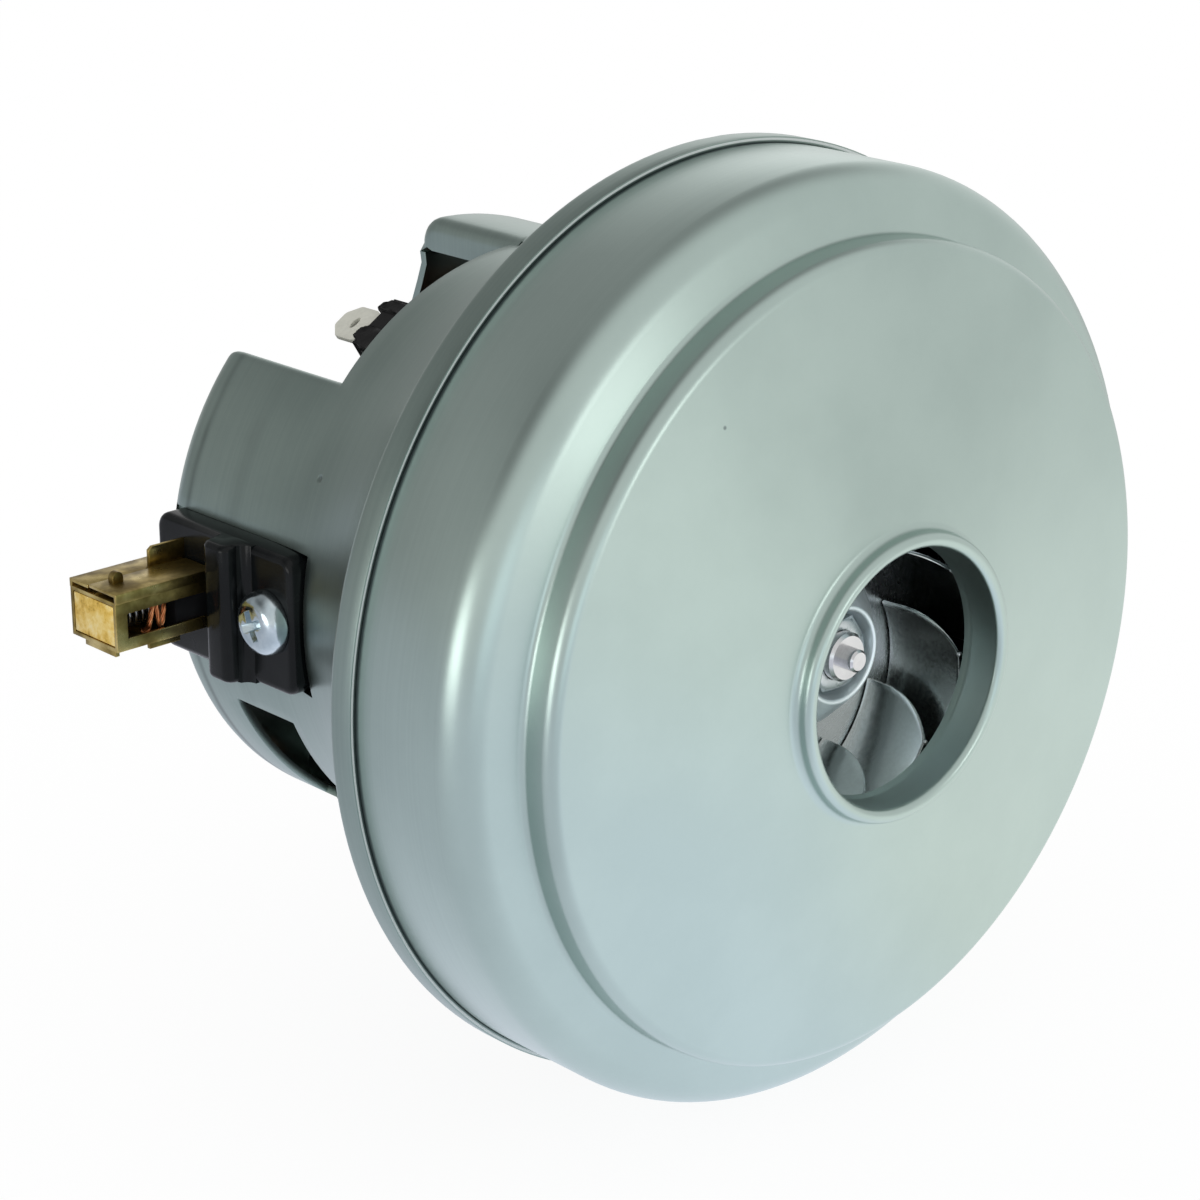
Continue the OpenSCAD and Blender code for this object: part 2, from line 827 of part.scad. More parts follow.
// Brush lead: copper strands from the back of the brush, past the side slot, out of the top seam.
lead_r = 0.55;
lead_y = brush_y - brush_w / 2 + 1.2;
lead_path = [for (i = [0:20])
    let (t = i / 20)
    [-brush_end - 0.1 - 3.4 * sin(150 * t), lead_y + 1.9 * t * t,
        -1.6 + 2.4 * t + (box_h / 2 - 0.2) * t * t]];

module brush_lead_left() {
    color("chocolate")
        wire(lead_path, lead_r, [0, 1, 0]);
}

module brush_lead_right() {
    color("chocolate")
        opposite()
            wire(lead_path, lead_r, [0, 1, 0]);
}

// Rotor: shaft, armature, commutator, and the fan clamped on the front end of the shaft.
nut_r = 6.35;
nut_y0 = fan_back + 3.45;
nut_y1 = nut_y0 + 3.55;

module shaft() {
    color("silver")
        turned([[0, -nut_y1 - 3.7], [1.3, -nut_y1 - 3.7], [1.6, -nut_y1 - 3.4], [1.6, -nut_y1 - 1.7],
            [shaft_r - 0.9, -nut_y1 - 1.7], [shaft_r - 0.5, -nut_y1 - 1.3],
            [shaft_r - 0.5, -fan_back - 2.55],
            [shaft_r, -fan_back - 2.55], [shaft_r, frame_l - 1.6], [rear_shaft_r, frame_l - 1.6],
            [rear_shaft_r, rear_y1 + 0.9], [rear_shaft_r - 0.5, rear_y1 + 1.4], [0, rear_y1 + 1.4]]);
}

module armature_core() {
    color("slategray")
        difference() {
            ring(shaft_r + fit, core_r, stack_y, stack_end);
            for (i = [0:slots - 1])
                rotate([0, 360 * i / slots, 0])
                    block(core_r - 6.5, core_r + 1, stack_y - 1, stack_end + 1, -1.1, 1.1);
        }
}

module armature_winding(y0, y1, y_mid, r) {
    turned([[shaft_r + 2.5, y0], [r - 2.5, y0], [r, y_mid], [r - 1.5, y1], [shaft_r + 2.5, y1]]);
}

module armature_winding_front() {
    color("peru")
        armature_winding(stack_y - 4.6, stack_y - 0.1, stack_y - 2.3, core_r - 1.2);
}

module armature_winding_rear() {
    color("peru")
        armature_winding(stack_end + 0.1, bars_y0 - 0.3, stack_end + 3, core_r - 2);
}

module commutator_hub() {
    color("saddlebrown")
        ring(shaft_r + fit, commutator_r - 4, bars_y0 - 0.2, bars_y1 + 0.6);
}

module commutator_bars() {
    inside = commutator_r - 4 + fit;
    color("chocolate")
        difference() {
            turned([[inside, bars_y0], [commutator_r + 1.6, bars_y0], [commutator_r + 1.6, bars_y0 + 1],
                [commutator_r, bars_y0 + 1], [commutator_r, bars_y1], [inside, bars_y1]]);
            for (i = [0:bars - 1])
                rotate([0, 360 * i / bars, 0])
                    block(inside - 1, commutator_r + 3, bars_y0 - 1, bars_y1 + 1,
                        -bar_gap / 2, bar_gap / 2);
        }
}

module fan_spacer() {
    color("silver")
        ring(shaft_r + fit, shaft_r + 2.5, fan_t - fan_back + fit, front_y0 - fit);
}

module fan_back_disc() {
    color("silver")
        ring(shaft_r + fit, fan_r, -fan_back, fan_t - fan_back);
}

// Place along Y of the front face of the fan's front disc at radius r.
function shroud(r) = -fan_front - (fan_r - r) * fan_slope;

module fan_front_disc() {
    color("silver")
        turned([[eye_r, shroud(eye_r)], [fan_r, shroud(fan_r)], [fan_r, shroud(fan_r) + fan_t],
            [eye_r, shroud(eye_r) + fan_t]]);
}

module fan_vane() {
    n = 8;
    w = 0.8;
    inside = eye_r + 3;
    side = [for (i = [0:n])
        [inside + (fan_r - 0.4 - inside) * i / n, -46 - 62 * i / n + 14 * i * i / n / n]];
    polygon(concat([for (p = side) polar(p[0], p[1] + w * 28.65 / p[0])],
        back([for (p = side) polar(p[0], p[1] - w * 28.65 / p[0])])));
}

module fan_vanes() {
    color("lightgray")
        intersection() {
            turned([[eye_r + 1, shroud(eye_r + 1) + fan_t + fit],
                [fan_r - 0.1, shroud(fan_r - 0.1) + fan_t + fit],
                [fan_r - 0.1, -fan_back - fit], [eye_r + 1, -fan_back - fit]]);
            for (i = [0:vanes - 1])
                rotate([0, -360 * i / vanes, 0])
                    along_y(-fan_front - 9, -fan_back + 1)
                        fan_vane();
        }
}

module inducer_hub() {
    f = -fan_back - fit;
    hole = shaft_r + fit;
    color("lightgray")
        turned([[hole, f], [16, f], [13.2, f - 1.8], [10.2, f - 4.4], [8.4, f - 7],
            [7.4, f - 7], [7.4, f - 2.5], [hole, f - 2.5]]);
}

// Inducer blade: from the hub to the eye, its leading edge swept round the axis.
blade_u = 8;
blade_v = 5;
function blade_point(u, v, side) =
    let (r = (9.2 + (eye_r - 9.9) * v) * (1 - u) + (15.4 + 6.6 * v) * u,
        s = (fan_back + 6.2 + 6.2 * v) * (1 - u) + (fan_back + 0.4 + 9 * v) * u,
        a = -10 + 58 * pow(1 - v, 1.3) * (1 - u) - 38 * u + side * 26 / r)
    [r * cos(a), -s, r * sin(a)];
blade_n = (blade_u + 1) * (blade_v + 1);
function blade_at(i, j, s) = s * blade_n + i * (blade_v + 1) + j;
blade_rim = concat([for (i = [0:blade_u]) [i, 0]], [for (j = [1:blade_v]) [blade_u, j]],
    [for (i = [blade_u - 1:-1:0]) [i, blade_v]], [for (j = [blade_v - 1:-1:1]) [0, j]]);
blade_faces = concat(
    [for (i = [0:blade_u - 1]) for (j = [0:blade_v - 1]) for (h = [0:1]) h == 0
        ? [blade_at(i, j, 0), blade_at(i + 1, j, 0), blade_at(i + 1, j + 1, 0)]
        : [blade_at(i, j, 0), blade_at(i + 1, j + 1, 0), blade_at(i, j + 1, 0)]],
    [for (i = [0:blade_u - 1]) for (j = [0:blade_v - 1]) for (h = [0:1]) h == 0
        ? [blade_at(i, j, 1), blade_at(i + 1, j + 1, 1), blade_at(i + 1, j, 1)]
        : [blade_at(i, j, 1), blade_at(i, j + 1, 1), blade_at(i + 1, j + 1, 1)]],
    [for (k = [0:len(blade_rim) - 1]) for (h = [0:1])
        let (p = blade_rim[k], q = blade_rim[(k + 1) % len(blade_rim)])
        h == 0 ? [blade_at(p[0], p[1], 0), blade_at(q[0], q[1], 1), blade_at(q[0], q[1], 0)]
            : [blade_at(p[0], p[1], 0), blade_at(p[0], p[1], 1), blade_at(q[0], q[1], 1)]]);

module inducer_blades() {
    points = concat([for (i = [0:blade_u]) for (j = [0:blade_v]) blade_point(i / blade_u, j / blade_v, -1)],
        [for (i = [0:blade_u]) for (j = [0:blade_v]) blade_point(i / blade_u, j / blade_v, 1)]);
    color("lightgray")
        for (k = [0:vanes - 1])
            rotate([0, -360 * k / vanes, 0])
                polyhedron(points = points, faces = blade_faces);
}

module fan_washer() {
    color("silver")
        ring(shaft_r - 0.5 + fit, shaft_r + 2.8, -fan_back - 3.4, -fan_back - 2.6);
}

module fan_nut() {
    color("silver")
        difference() {
            translate([0, -nut_y0, 0])
                rotate([90, 0, 0])
                    cylinder(h = nut_y1 - nut_y0, r = nut_r, $fn = 6);
            rod(shaft_r - 0.5 + fit, -nut_y1 - 1, -nut_y0 + 1);
        }
}

fan_cover();
motor_frame();
front_bracket();
bearing_retainer();
retainer_screws();
diffuser();
diffuser_screws();
stator_core();
field_coil_upper();
field_coil_lower();
coil_frame_front();
coil_frame_rear();
stator_screws();
stator_spacers();
terminal_tab_upper();
terminal_tab_lower();
front_bearing_outer();
front_bearing_shields();
rear_bearing_outer();
rear_bearing_shields();
rear_bearing_cushion();
brush_holder_left();
brush_holder_right();
brush_box_left();
brush_box_right();
box_cap_left();
box_cap_right();
holder_screws();
brush_spring_left();
brush_spring_right();
brush_lead_left();
brush_lead_right();
carbon_brush_left();
carbon_brush_right();
shaft();
armature_core();
armature_winding_front();
armature_winding_rear();
commutator_hub();
commutator_bars();
front_bearing_inner();
rear_bearing_inner();
front_bearing_balls();
front_bearing_cage();
rear_bearing_balls();
rear_bearing_cage();
fan_spacer();
fan_back_disc();
fan_front_disc();
fan_vanes();
inducer_hub();
inducer_blades();
fan_washer();
fan_nut();
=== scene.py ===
# Vacuum motor unit, dressed for looks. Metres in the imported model's frame: the motor axis is Y, the air
# inlet faces -Y, the brush holders are on the X sides and +Z is up. Angles go from +X towards +Z.
from math import atan2, cos, degrees, hypot, pi, radians, sin, sqrt

import bmesh
import bpy
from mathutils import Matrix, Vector


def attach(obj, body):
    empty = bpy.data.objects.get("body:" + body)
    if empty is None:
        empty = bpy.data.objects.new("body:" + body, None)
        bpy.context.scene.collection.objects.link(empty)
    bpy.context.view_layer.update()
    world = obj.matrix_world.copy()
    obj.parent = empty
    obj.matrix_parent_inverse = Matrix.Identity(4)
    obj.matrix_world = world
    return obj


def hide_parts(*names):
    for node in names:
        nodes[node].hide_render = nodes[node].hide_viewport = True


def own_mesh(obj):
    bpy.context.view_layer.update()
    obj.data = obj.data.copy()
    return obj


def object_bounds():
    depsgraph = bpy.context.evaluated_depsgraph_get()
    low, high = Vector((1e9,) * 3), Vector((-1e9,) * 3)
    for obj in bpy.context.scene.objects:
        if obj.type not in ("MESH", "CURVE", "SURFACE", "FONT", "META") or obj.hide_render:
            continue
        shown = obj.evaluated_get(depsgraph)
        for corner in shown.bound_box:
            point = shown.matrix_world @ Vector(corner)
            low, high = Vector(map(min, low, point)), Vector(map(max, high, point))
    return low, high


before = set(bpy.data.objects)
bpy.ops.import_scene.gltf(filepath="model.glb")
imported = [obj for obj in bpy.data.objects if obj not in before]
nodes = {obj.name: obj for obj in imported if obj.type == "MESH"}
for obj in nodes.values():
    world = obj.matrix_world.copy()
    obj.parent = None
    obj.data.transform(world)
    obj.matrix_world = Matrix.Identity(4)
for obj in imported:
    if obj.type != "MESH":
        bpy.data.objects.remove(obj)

cad_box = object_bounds()

# Camera: where the photograph was taken from, found from the circles of the rim, step and inlet.
# The long lens stands 0.45 m from the motor, above its left front.
CAMERA_TURN = -43.31
CAMERA_RISE = 19.83
CAMERA_PLACE = (-0.30093, -0.29414, 0.15364)
CAMERA_LENS = 94.87
CAMERA_FILM = 36.0
bpy.ops.object.select_all(action="DESELECT")
bpy.ops.object.camera_add(location=CAMERA_PLACE, rotation=(radians(90 - CAMERA_RISE), 0, radians(CAMERA_TURN)))
camera = bpy.context.object
camera.name = "photo_camera"
camera.data.lens = CAMERA_LENS
camera.data.sensor_width = CAMERA_FILM
bpy.context.scene.camera = camera
bpy.context.scene.view_settings.view_transform = "Standard"


# Studio: a white room with a dark ceiling and a grey left corner, as the metal mirrors them in the
# photograph, panels of light in front and at the left, and a pale floor under the rim.
class Wire:
    """A value in a node tree. Maths on it adds Math nodes, and node() adds any other node."""

    def __init__(self, tree, socket=None):
        self.tree = tree
        self.socket = socket

    def node(self, kind, settings=None, inputs=None, out=0):
        made = self.tree.nodes.new(kind)
        for name, setting in (settings or {}).items():
            if name == "stops":
                elements = made.color_ramp.elements
                while len(elements) < len(setting):
                    elements.new(1.0)
                for element, (position, colour) in zip(elements, setting):
                    element.position = position
                    element.color = (*colour, 1.0)
            else:
                setattr(made, name, setting)
        for key, given in (inputs or {}).items():
            if isinstance(given, Wire):
                self.tree.links.new(given.socket, made.inputs[key])
            else:
                made.inputs[key].default_value = given
        return Wire(self.tree, made.outputs[out]) if made.outputs else None

    def math(self, operation, *others):
        return self.node("ShaderNodeMath", {"operation": operation}, dict(enumerate((self, *others))))

    def __add__(self, other):
        return self.math("ADD", other)

    def __mul__(self, other):
        return self.math("MULTIPLY", other)

    def __sub__(self, other):
        return self.math("SUBTRACT", other)

    def __rsub__(self, other):
        return self.node("ShaderNodeMath", {"operation": "SUBTRACT"}, {0: other, 1: self})

    __radd__ = __add__
    __rmul__ = __mul__

    def ramp(self, low, high, at_low=0.0, at_high=1.0):
        """This value taken from low..high to at_low..at_high, eased at both ends."""
        return self.node("ShaderNodeMapRange", {"interpolation_type": "SMOOTHSTEP"},
                         {"Value": self, "From Min": low, "From Max": high,
                          "To Min": at_low, "To Max": at_high})

    def mix(self, first, second):
        """The colour first where this value is 0 and second where it is 1."""
        return self.node("ShaderNodeMix", {"data_type": "RGBA"}, {0: self, 6: first, 7: second}, 2)

    def parts(self):
        """The three numbers of a vector."""
        return [self.node("ShaderNodeSeparateXYZ", None, {0: self}, i) for i in range(3)]

    def distance(self, point):
        """How far this place is from a point."""
        return self.node("ShaderNodeVectorMath", {"operation": "DISTANCE"}, {0: self, 1: point}, 1)


WHITE_SWEEP = Vector((0.66, 0.74, 0.08)).normalized()
CEILING_DIM = 0.66
CORNER_DIM = 0.53
FRONT_LEVEL = 0.86
BACK_LEVEL = 0.44
SWEEP_LEVEL = 1.3
PLAIN_LIGHT = 0.8
world = bpy.data.worlds.new("white_room")
bpy.context.scene.world = world
world.use_nodes = True
room = Wire(world.node_tree)
world.node_tree.nodes.clear()
ray = room.node("ShaderNodeTexCoord", out=0)
rightward, rearward, upward = ray.parts()
sweep = ray.node("ShaderNodeVectorMath", {"operation": "DOT_PRODUCT"}, {0: ray, 1: WHITE_SWEEP}, 1)
ceiling = upward.ramp(0.3, 0.72) * rearward.ramp(-0.3, 0.35)
left_corner = rightward.ramp(-0.75, -0.1, 1.0, 0.0) * rearward.ramp(-0.2, 0.4)
mirrored = ((1 - ceiling * CEILING_DIM) * (1 - left_corner * CORNER_DIM)
            * rearward.ramp(-0.3, 0.5, FRONT_LEVEL, 1.0) * rearward.ramp(0.7, 0.9, 1.0, BACK_LEVEL)
            * sweep.ramp(0.94, 0.995, 1.0, SWEEP_LEVEL))
glossy = room.node("ShaderNodeLightPath", out="Is Glossy Ray")
seen = room.node("ShaderNodeLightPath", out="Is Camera Ray")
through = room.node("ShaderNodeLightPath", out="Is Transmission Ray")
backdrop = seen.math("MAXIMUM", through)
strength = backdrop + (1 - backdrop) * (glossy * mirrored + (1 - glossy) * PLAIN_LIGHT)
sky = room.node("ShaderNodeBackground", None, {"Color": (1, 1, 1, 1), "Strength": strength})
room.node("ShaderNodeOutputWorld", None, {"Surface": sky})


def lamp(name, place, aim, size, power, colour):
    """A soft box of that width, turned towards a point."""
    bpy.ops.object.select_all(action="DESELECT")
    bpy.ops.object.light_add(type="AREA", location=place)
    made = bpy.context.object
    made.name = name
    made.rotation_euler = (Vector(aim) - Vector(place)).to_track_quat("-Z", "Y").to_euler()
    made.data.shape = "DISK"
    made.data.size = size
    made.data.energy = power
    made.data.color = colour


lamp("front_panel", (0.2, -0.97, 0.16), (0, 0, 0), 0.3, 0.55, (1, 1, 0.97))
lamp("low_panel", (-0.28, -0.6, -0.02), (0, 0, 0), 0.4, 0.3, (0.78, 0.92, 1))
lamp("left_fill", (-0.9, 0.1, -0.02), (0, 0.03, 0), 0.5, 1.7, (1, 1, 0.97))

FLOOR_WHITE = 0.82
FLOOR_SHOWN = 1.06
FLOOR_GLOW = 0.85
FLOOR_GAP = 0.0002
bpy.ops.object.select_all(action="DESELECT")
bpy.ops.mesh.primitive_plane_add(size=6, location=(0, 0, cad_box[0][2] - FLOOR_GAP))
floor = bpy.context.object
floor.name = "studio_floor"
pale = bpy.data.materials.new("pale_floor")
pale.use_nodes = True
paint = Wire(pale.node_tree)
pale.node_tree.nodes.clear()
matt = paint.node("ShaderNodeBsdfDiffuse", None, {"Color": (FLOOR_WHITE, FLOOR_WHITE, FLOOR_WHITE, 1)})
right_of, behind = paint.node("ShaderNodeTexCoord", out="Object").parts()[:2]
mirror = paint.node("ShaderNodeLightPath", out="Is Glossy Ray")
shown = mirror.math("MAXIMUM", paint.node("ShaderNodeLightPath", out="Is Camera Ray"))
# As the metal mirrors it, the floor glows brighter just in front of the motor, darker to its left and behind
# it, and blue on its left: a painted pool of light and a painted shadow near the motor.
mirrored_glow_and_shadow = (behind.ramp(-0.7, -0.25, 1.0, 1.3) * behind.ramp(-0.1, 0.25, 1.0, 0.64)
             * right_of.ramp(-0.12, 0.0, 0.66, 1.0) * right_of.ramp(0.1, 0.5, 1.0, 0.8))
tint = right_of.ramp(-0.01, 0.06).mix((0.97, 1, 1.13, 1), (1, 1, 0.99, 1))
glow = paint.node("ShaderNodeEmission", None, {"Color": mirror.mix((1, 1, 1, 1), tint),
                                               "Strength": (1 - mirror) * FLOOR_SHOWN + mirror * mirrored_glow_and_shadow})
both = paint.node("ShaderNodeMixShader", None, {0: shown * FLOOR_GLOW, 1: matt, 2: glow})
paint.node("ShaderNodeOutputMaterial", None, {"Surface": both})
floor.data.materials.append(pale)


# Fan cover: pressed from one zinc-plated steel sheet, with a straight wall, a step for the seal ring, a
# shallow cone and an inlet with a rolled lip. It is pushed into the frame's rim and held by its grip.
MM = 0.001
WELD = 0.004
NOISE_SPOT = 0.6


def bend(centre, radius, angles):
    """Points on a circle at angles in degrees."""
    turns = [radians(angle) for angle in angles]
    return [(centre[0] + radius * cos(t), centre[1] + radius * sin(t)) for t in turns]


def arc(centre, radius, start, end, steps):
    """Evenly spaced points on an arc, angles in degrees."""
    return bend(centre, radius, [start + (end - start) * i / steps for i in range(steps + 1)])


def draw(name, points):
    """A new piece in edit mode that is one chain of edges through points in millimetres."""
    bpy.ops.object.select_all(action="DESELECT")
    bpy.ops.mesh.primitive_plane_add(size=MM)
    piece = bpy.context.object
    piece.name = name
    bpy.ops.object.mode_set(mode="EDIT")
    bpy.ops.mesh.select_mode(type="VERT")
    bpy.ops.mesh.select_all(action="SELECT")
    bpy.ops.mesh.merge(type="CENTER")
    places = [Vector(p) * MM for p in points]
    bpy.ops.transform.translate(value=places[0])
    for here, there in zip(places, places[1:]):
        bpy.ops.mesh.extrude_vertices_move(TRANSFORM_OT_translate={"value": there - here})
    bpy.ops.mesh.select_all(action="SELECT")
    return piece


def weld():
    """Merges the selected points that meet."""
    bpy.ops.mesh.remove_doubles(threshold=WELD * MM)


def spin(angle, steps):
    """Turns what is selected round the motor axis, from +X towards +Z."""
    bpy.ops.mesh.spin(steps=steps, angle=radians(angle), center=(0, 0, 0), axis=(0, 1, 0))


def close_up():
    """Merges what meets, turns the faces outwards and leaves edit mode."""
    bpy.ops.mesh.select_all(action="SELECT")
    weld()
    bpy.ops.mesh.normals_make_consistent(inside=False)
    bpy.ops.object.mode_set(mode="OBJECT")


def lathe(name, outline, steps):
    """A piece turned round the motor axis, from a closed outline in millimetres beside it."""
    piece = draw(name, outline + outline[:1])
    weld()
    spin(360, steps)
    close_up()
    return piece


def take(piece):
    """Selects this piece alone and makes it the active one."""
    bpy.ops.object.select_all(action="DESELECT")
    piece.select_set(True)
    bpy.context.view_layer.objects.active = piece


def finish(piece, kind, **settings):
    """Adds a modifier to the piece and applies it."""
    take(piece)
    bpy.ops.object.modifier_add(type=kind)
    modifier = piece.modifiers[-1]
    for name, setting in settings.items():
        setattr(modifier, name, setting)
    bpy.ops.object.modifier_apply(modifier=modifier.name)


def soften(piece, width, angle=40):
    """Breaks the sharp edges by a small bevel and smooths the shading between them."""
    if width:
        finish(piece, "BEVEL", width=width * MM, segments=2, limit_method="ANGLE", angle_limit=radians(angle))
    take(piece)
    bpy.ops.object.shade_smooth_by_angle(angle=radians(angle))


def fit(piece, body, slot, material, *replaced):
    """Puts a finished piece on its body, in place of the plain nodes."""
    piece.data.materials.clear()
    piece.data.materials.append(material)
    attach(piece, body)
    if replaced:
        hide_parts(*replaced)


def surface(name):
    """A new material: an empty tree and the object's own coordinates."""
    material = bpy.data.materials.new(name)
    material.use_nodes = True
    material.node_tree.nodes.clear()
    tree = Wire(material.node_tree)
    return material, tree.node("ShaderNodeTexCoord", out="Object")


def noise(place, size, detail=3.0, rough=0.55):
    """Cloudy values from 0 to 1 with spots about size millimetres wide."""
    return place.node("ShaderNodeTexNoise", None, {"Vector": place, "Scale": NOISE_SPOT / (size * MM),
                                                   "Detail": detail, "Roughness": rough}, 0)


def shade(place, colour, roughness, metallic=0.0, height=None, depth=0.02, **fixed):
    """Ends a material: what varies is linked, what is the same all over is set on the shader."""
    inputs = {"Base Color": colour, "Roughness": roughness, "Metallic": metallic}
    for name, value in fixed.items():
        inputs[name.replace("_", " ")] = value
    if height is not None:
        inputs["Normal"] = place.node("ShaderNodeBump", None, {"Strength": 1.0, "Distance": depth * MM,
                                                               "Height": height})
    shader = place.node("ShaderNodeBsdfPrincipled", None, inputs)
    place.node("ShaderNodeOutputMaterial", None, {"Surface": shader})


def zinc(name, light, dark, roughness, brushed_to):
    """Plated sheet: soft blotches, a fine grain, and turning marks round the axis behind brushed_to.

    Gives the material, its place, how far that is along the axis and out from it, and the colour,
    roughness and height that the sheet's own marks are added to.
    """
    material, place = surface(name)
    spots = noise(place, 14, 4.0)
    grain = noise(place, 0.5, 2.0)
    x, y, z = place.parts()
    radius = (x * x + z * z).math("SQRT") + 0.0001
    streaks = place.node("ShaderNodeCombineXYZ", None, {0: x.math("DIVIDE", radius) * 1.3, 1: y * 2600,
                                                        2: z.math("DIVIDE", radius) * 1.3})
    marks = place.node("ShaderNodeTexNoise", None, {"Vector": streaks, "Scale": 1.0, "Detail": 2.0}, 0)
    on_wall = y.ramp(brushed_to - 0.002, brushed_to)
    tone = spots.ramp(0.3, 0.7) * 0.75 + grain * 0.25 + (marks - 0.5) * on_wall * 1.1
    colour = tone.mix((*dark, 1), (*light, 1))
    height = grain * 0.35 + marks * on_wall * 0.8
    return material, place, y, radius, colour, roughness + (spots - 0.5) * 0.12, height


COVER_R = 66.7
SHEET = 0.8
COVER_END = 2.3
STEP_R = 58.0
INLET_R = 18.2
WALL_BEND = 5.5
WALL_CORNER = (COVER_R - WALL_BEND, 15.8)
FOOT_BEND = 1.0
STEP_FOOT = (STEP_R + FOOT_BEND, 23.12)
HEAD_BEND = 2.0
STEP_HEAD = (STEP_R - HEAD_BEND, 25.77)
LIP_FOOT_BEND = 1.2
LIP_FOOT = (INLET_R + 3.3, 34.48)
LIP_BEND = 1.05
LIP = (INLET_R + LIP_BEND, 34.93)
TUBE_END = ((0.0, 31.0), (-0.1, 30.3), (-0.4, 29.65))


def cover_side(t):
    """The cover's profile at a depth of t inside its outer face, as radius and place in front of the rim."""
    side = [(COVER_R - t, -COVER_END)] + arc(WALL_CORNER, WALL_BEND - t, 0, 75, 12)
    side += arc(STEP_FOOT, FOOT_BEND + t, 255, 180, 7) + arc(STEP_HEAD, HEAD_BEND - t, 0, 81, 9)
    side += arc(LIP_FOOT, LIP_FOOT_BEND + t, 261, 180, 8) + arc(LIP, LIP_BEND - t, 0, 180, 14)
    return side + [(INLET_R + turned_out + t, s) for turned_out, s in TUBE_END]


cover_outline = cover_side(0) + cover_side(SHEET)[::-1]
fan_cover = lathe("fan_cover_sheet", [(r, -s, 0) for r, s in cover_outline], 180)
soften(fan_cover, 0.12)
COVER_LIGHT = (0.455, 0.555, 0.518)
COVER_DARK = (0.41, 0.505, 0.472)
SEAM_SHADE_AND_SPECK = (0.05, 0.065, 0.075, 1)
SPECK = (-0.02936, -0.02884, 0.03972)
cover_plating = zinc("zinc_cover", COVER_LIGHT, COVER_DARK, 0.34, -0.0155)
cover_zinc, place, y, radius, colour, roughness, height = cover_plating
# Painted shade: a band of the cover at the edge of the rim is darkened and made rougher, for the gap where the
# cover meets the rim. The speck beside it is one small dark spot on the sheet.
seam = y.ramp(-0.0009, -0.0003)
speck = place.distance(SPECK).ramp(0.0001, 0.0004, 0.6, 0)
shade(place, (seam * 0.85 + speck).mix(colour, SEAM_SHADE_AND_SPECK), roughness + seam * 0.2, 1.0, height, 0.012)
fit(fan_cover, "housing", "zinc_sheet", cover_zinc, "fan_cover")

# Motor frame: deep-drawn zinc-plated steel. A thin rim grips the cover, the flare runs down to the can,
# and the can is cut away between two brush lobes and two legs that carry the rear face and its boss.
RIM_R = 67.55
RIM_BEND = 1.5
RIM_GRIP = (67.2, 3.4)
CAN_R = 46.2
FRAME_L = 70.6
FRAME_T = 1.2
FLARE = (CAN_R + 54.06, 46.0)
REAR = (41.2, 65.6)
REAR_BEND = 5.0
LEG_R = 47.2
LEG_CORNER = (43.2, 59.1)
LEG_BEND = 4.0
LEG_MEETS_CAN = 41.41
RING_R = 22.0
BOSS_R = 12.05
BOSS_BEND = 1.5
BOSS_END = 80.4
LOBE_FROM = 136.3
LOBE_TO = 203.0
SLOT_TO = 235.0
LEG_FROM = 242.0
LEG_TO = 272.0
LEG_EDGE = 4.0
WINDOW_Y = 42.0
SLOT_Y = (44.5, 58.0)
SEAT_X = 43.6
SEAT_HALF = 12.9
SEAT_Y = 35.3
SEAT_END = 68.9
SEAT_CORNER = 61.3


def flare(y):
    """The frame's outer radius where it narrows to the can."""
    return FLARE[0] - sqrt((FLARE[0] - CAN_R) ** 2 - (FLARE[1] - y) ** 2)


def on_frame(profile, angle):
    """A profile of radius and place along the axis, stood up at an angle round the axis."""
    turn = radians(angle)
    return [(r * cos(turn), y, r * sin(turn)) for r, y in profile]


def join(piece, *others):
    """Makes the others part of the piece."""
    take(piece)
    for other in others:
        other.select_set(True)
    bpy.ops.object.join()


def open_up():
    """Enters edit mode with all of the active piece selected."""
    bpy.ops.object.mode_set(mode="EDIT")
    bpy.ops.mesh.select_all(action="SELECT")


front = [(RIM_R, 0.0), (RIM_R, 1.7)] + arc((RIM_R - RIM_BEND, 3.35), RIM_BEND, 0, 90, 6)
front += [(flare(y), y) for y in (4.85, 6, 7.5, 9.5, 12, 15, 18, 21, 24, 27, 30, 32.5, 34)]
ring = [(RING_R, FRAME_L), (18.0, FRAME_L)]
ring += arc((BOSS_R + BOSS_BEND, FRAME_L + BOSS_BEND), BOSS_BEND, 270, 180, 5) + [(BOSS_R, 75.0)]
ring += arc((BOSS_R - BOSS_BEND, BOSS_END - BOSS_BEND), BOSS_BEND, 0, 90, 5)
ring += [(5.0, BOSS_END), (0.0, BOSS_END)]
can = [(flare(y), y) for y in (SEAT_Y, 39.5, WINDOW_Y, SLOT_Y[0], 46)]
can += [(CAN_R, y) for y in (52, SLOT_Y[1], LEG_CORNER[1] + LEG_BEND * sin(radians(LEG_MEETS_CAN)))]
can += bend(REAR, REAR_BEND, (0, 10, 20, 30, 40, 50, SEAT_CORNER, 70, 80, 90)) + [(31.6, FRAME_L)]
leg = [(LEG_R, y) for y in (SEAT_Y, 39.5, WINDOW_Y, 46, 52)]
leg += bend(LEG_CORNER, LEG_BEND, (0, 10, 20, 30, LEG_MEETS_CAN, 50, 60, 70, 80, 90))
leg += [(41.6, 63.0), (40.0, 62.8), (37.0, 64.0), (29.5, 67.3)]

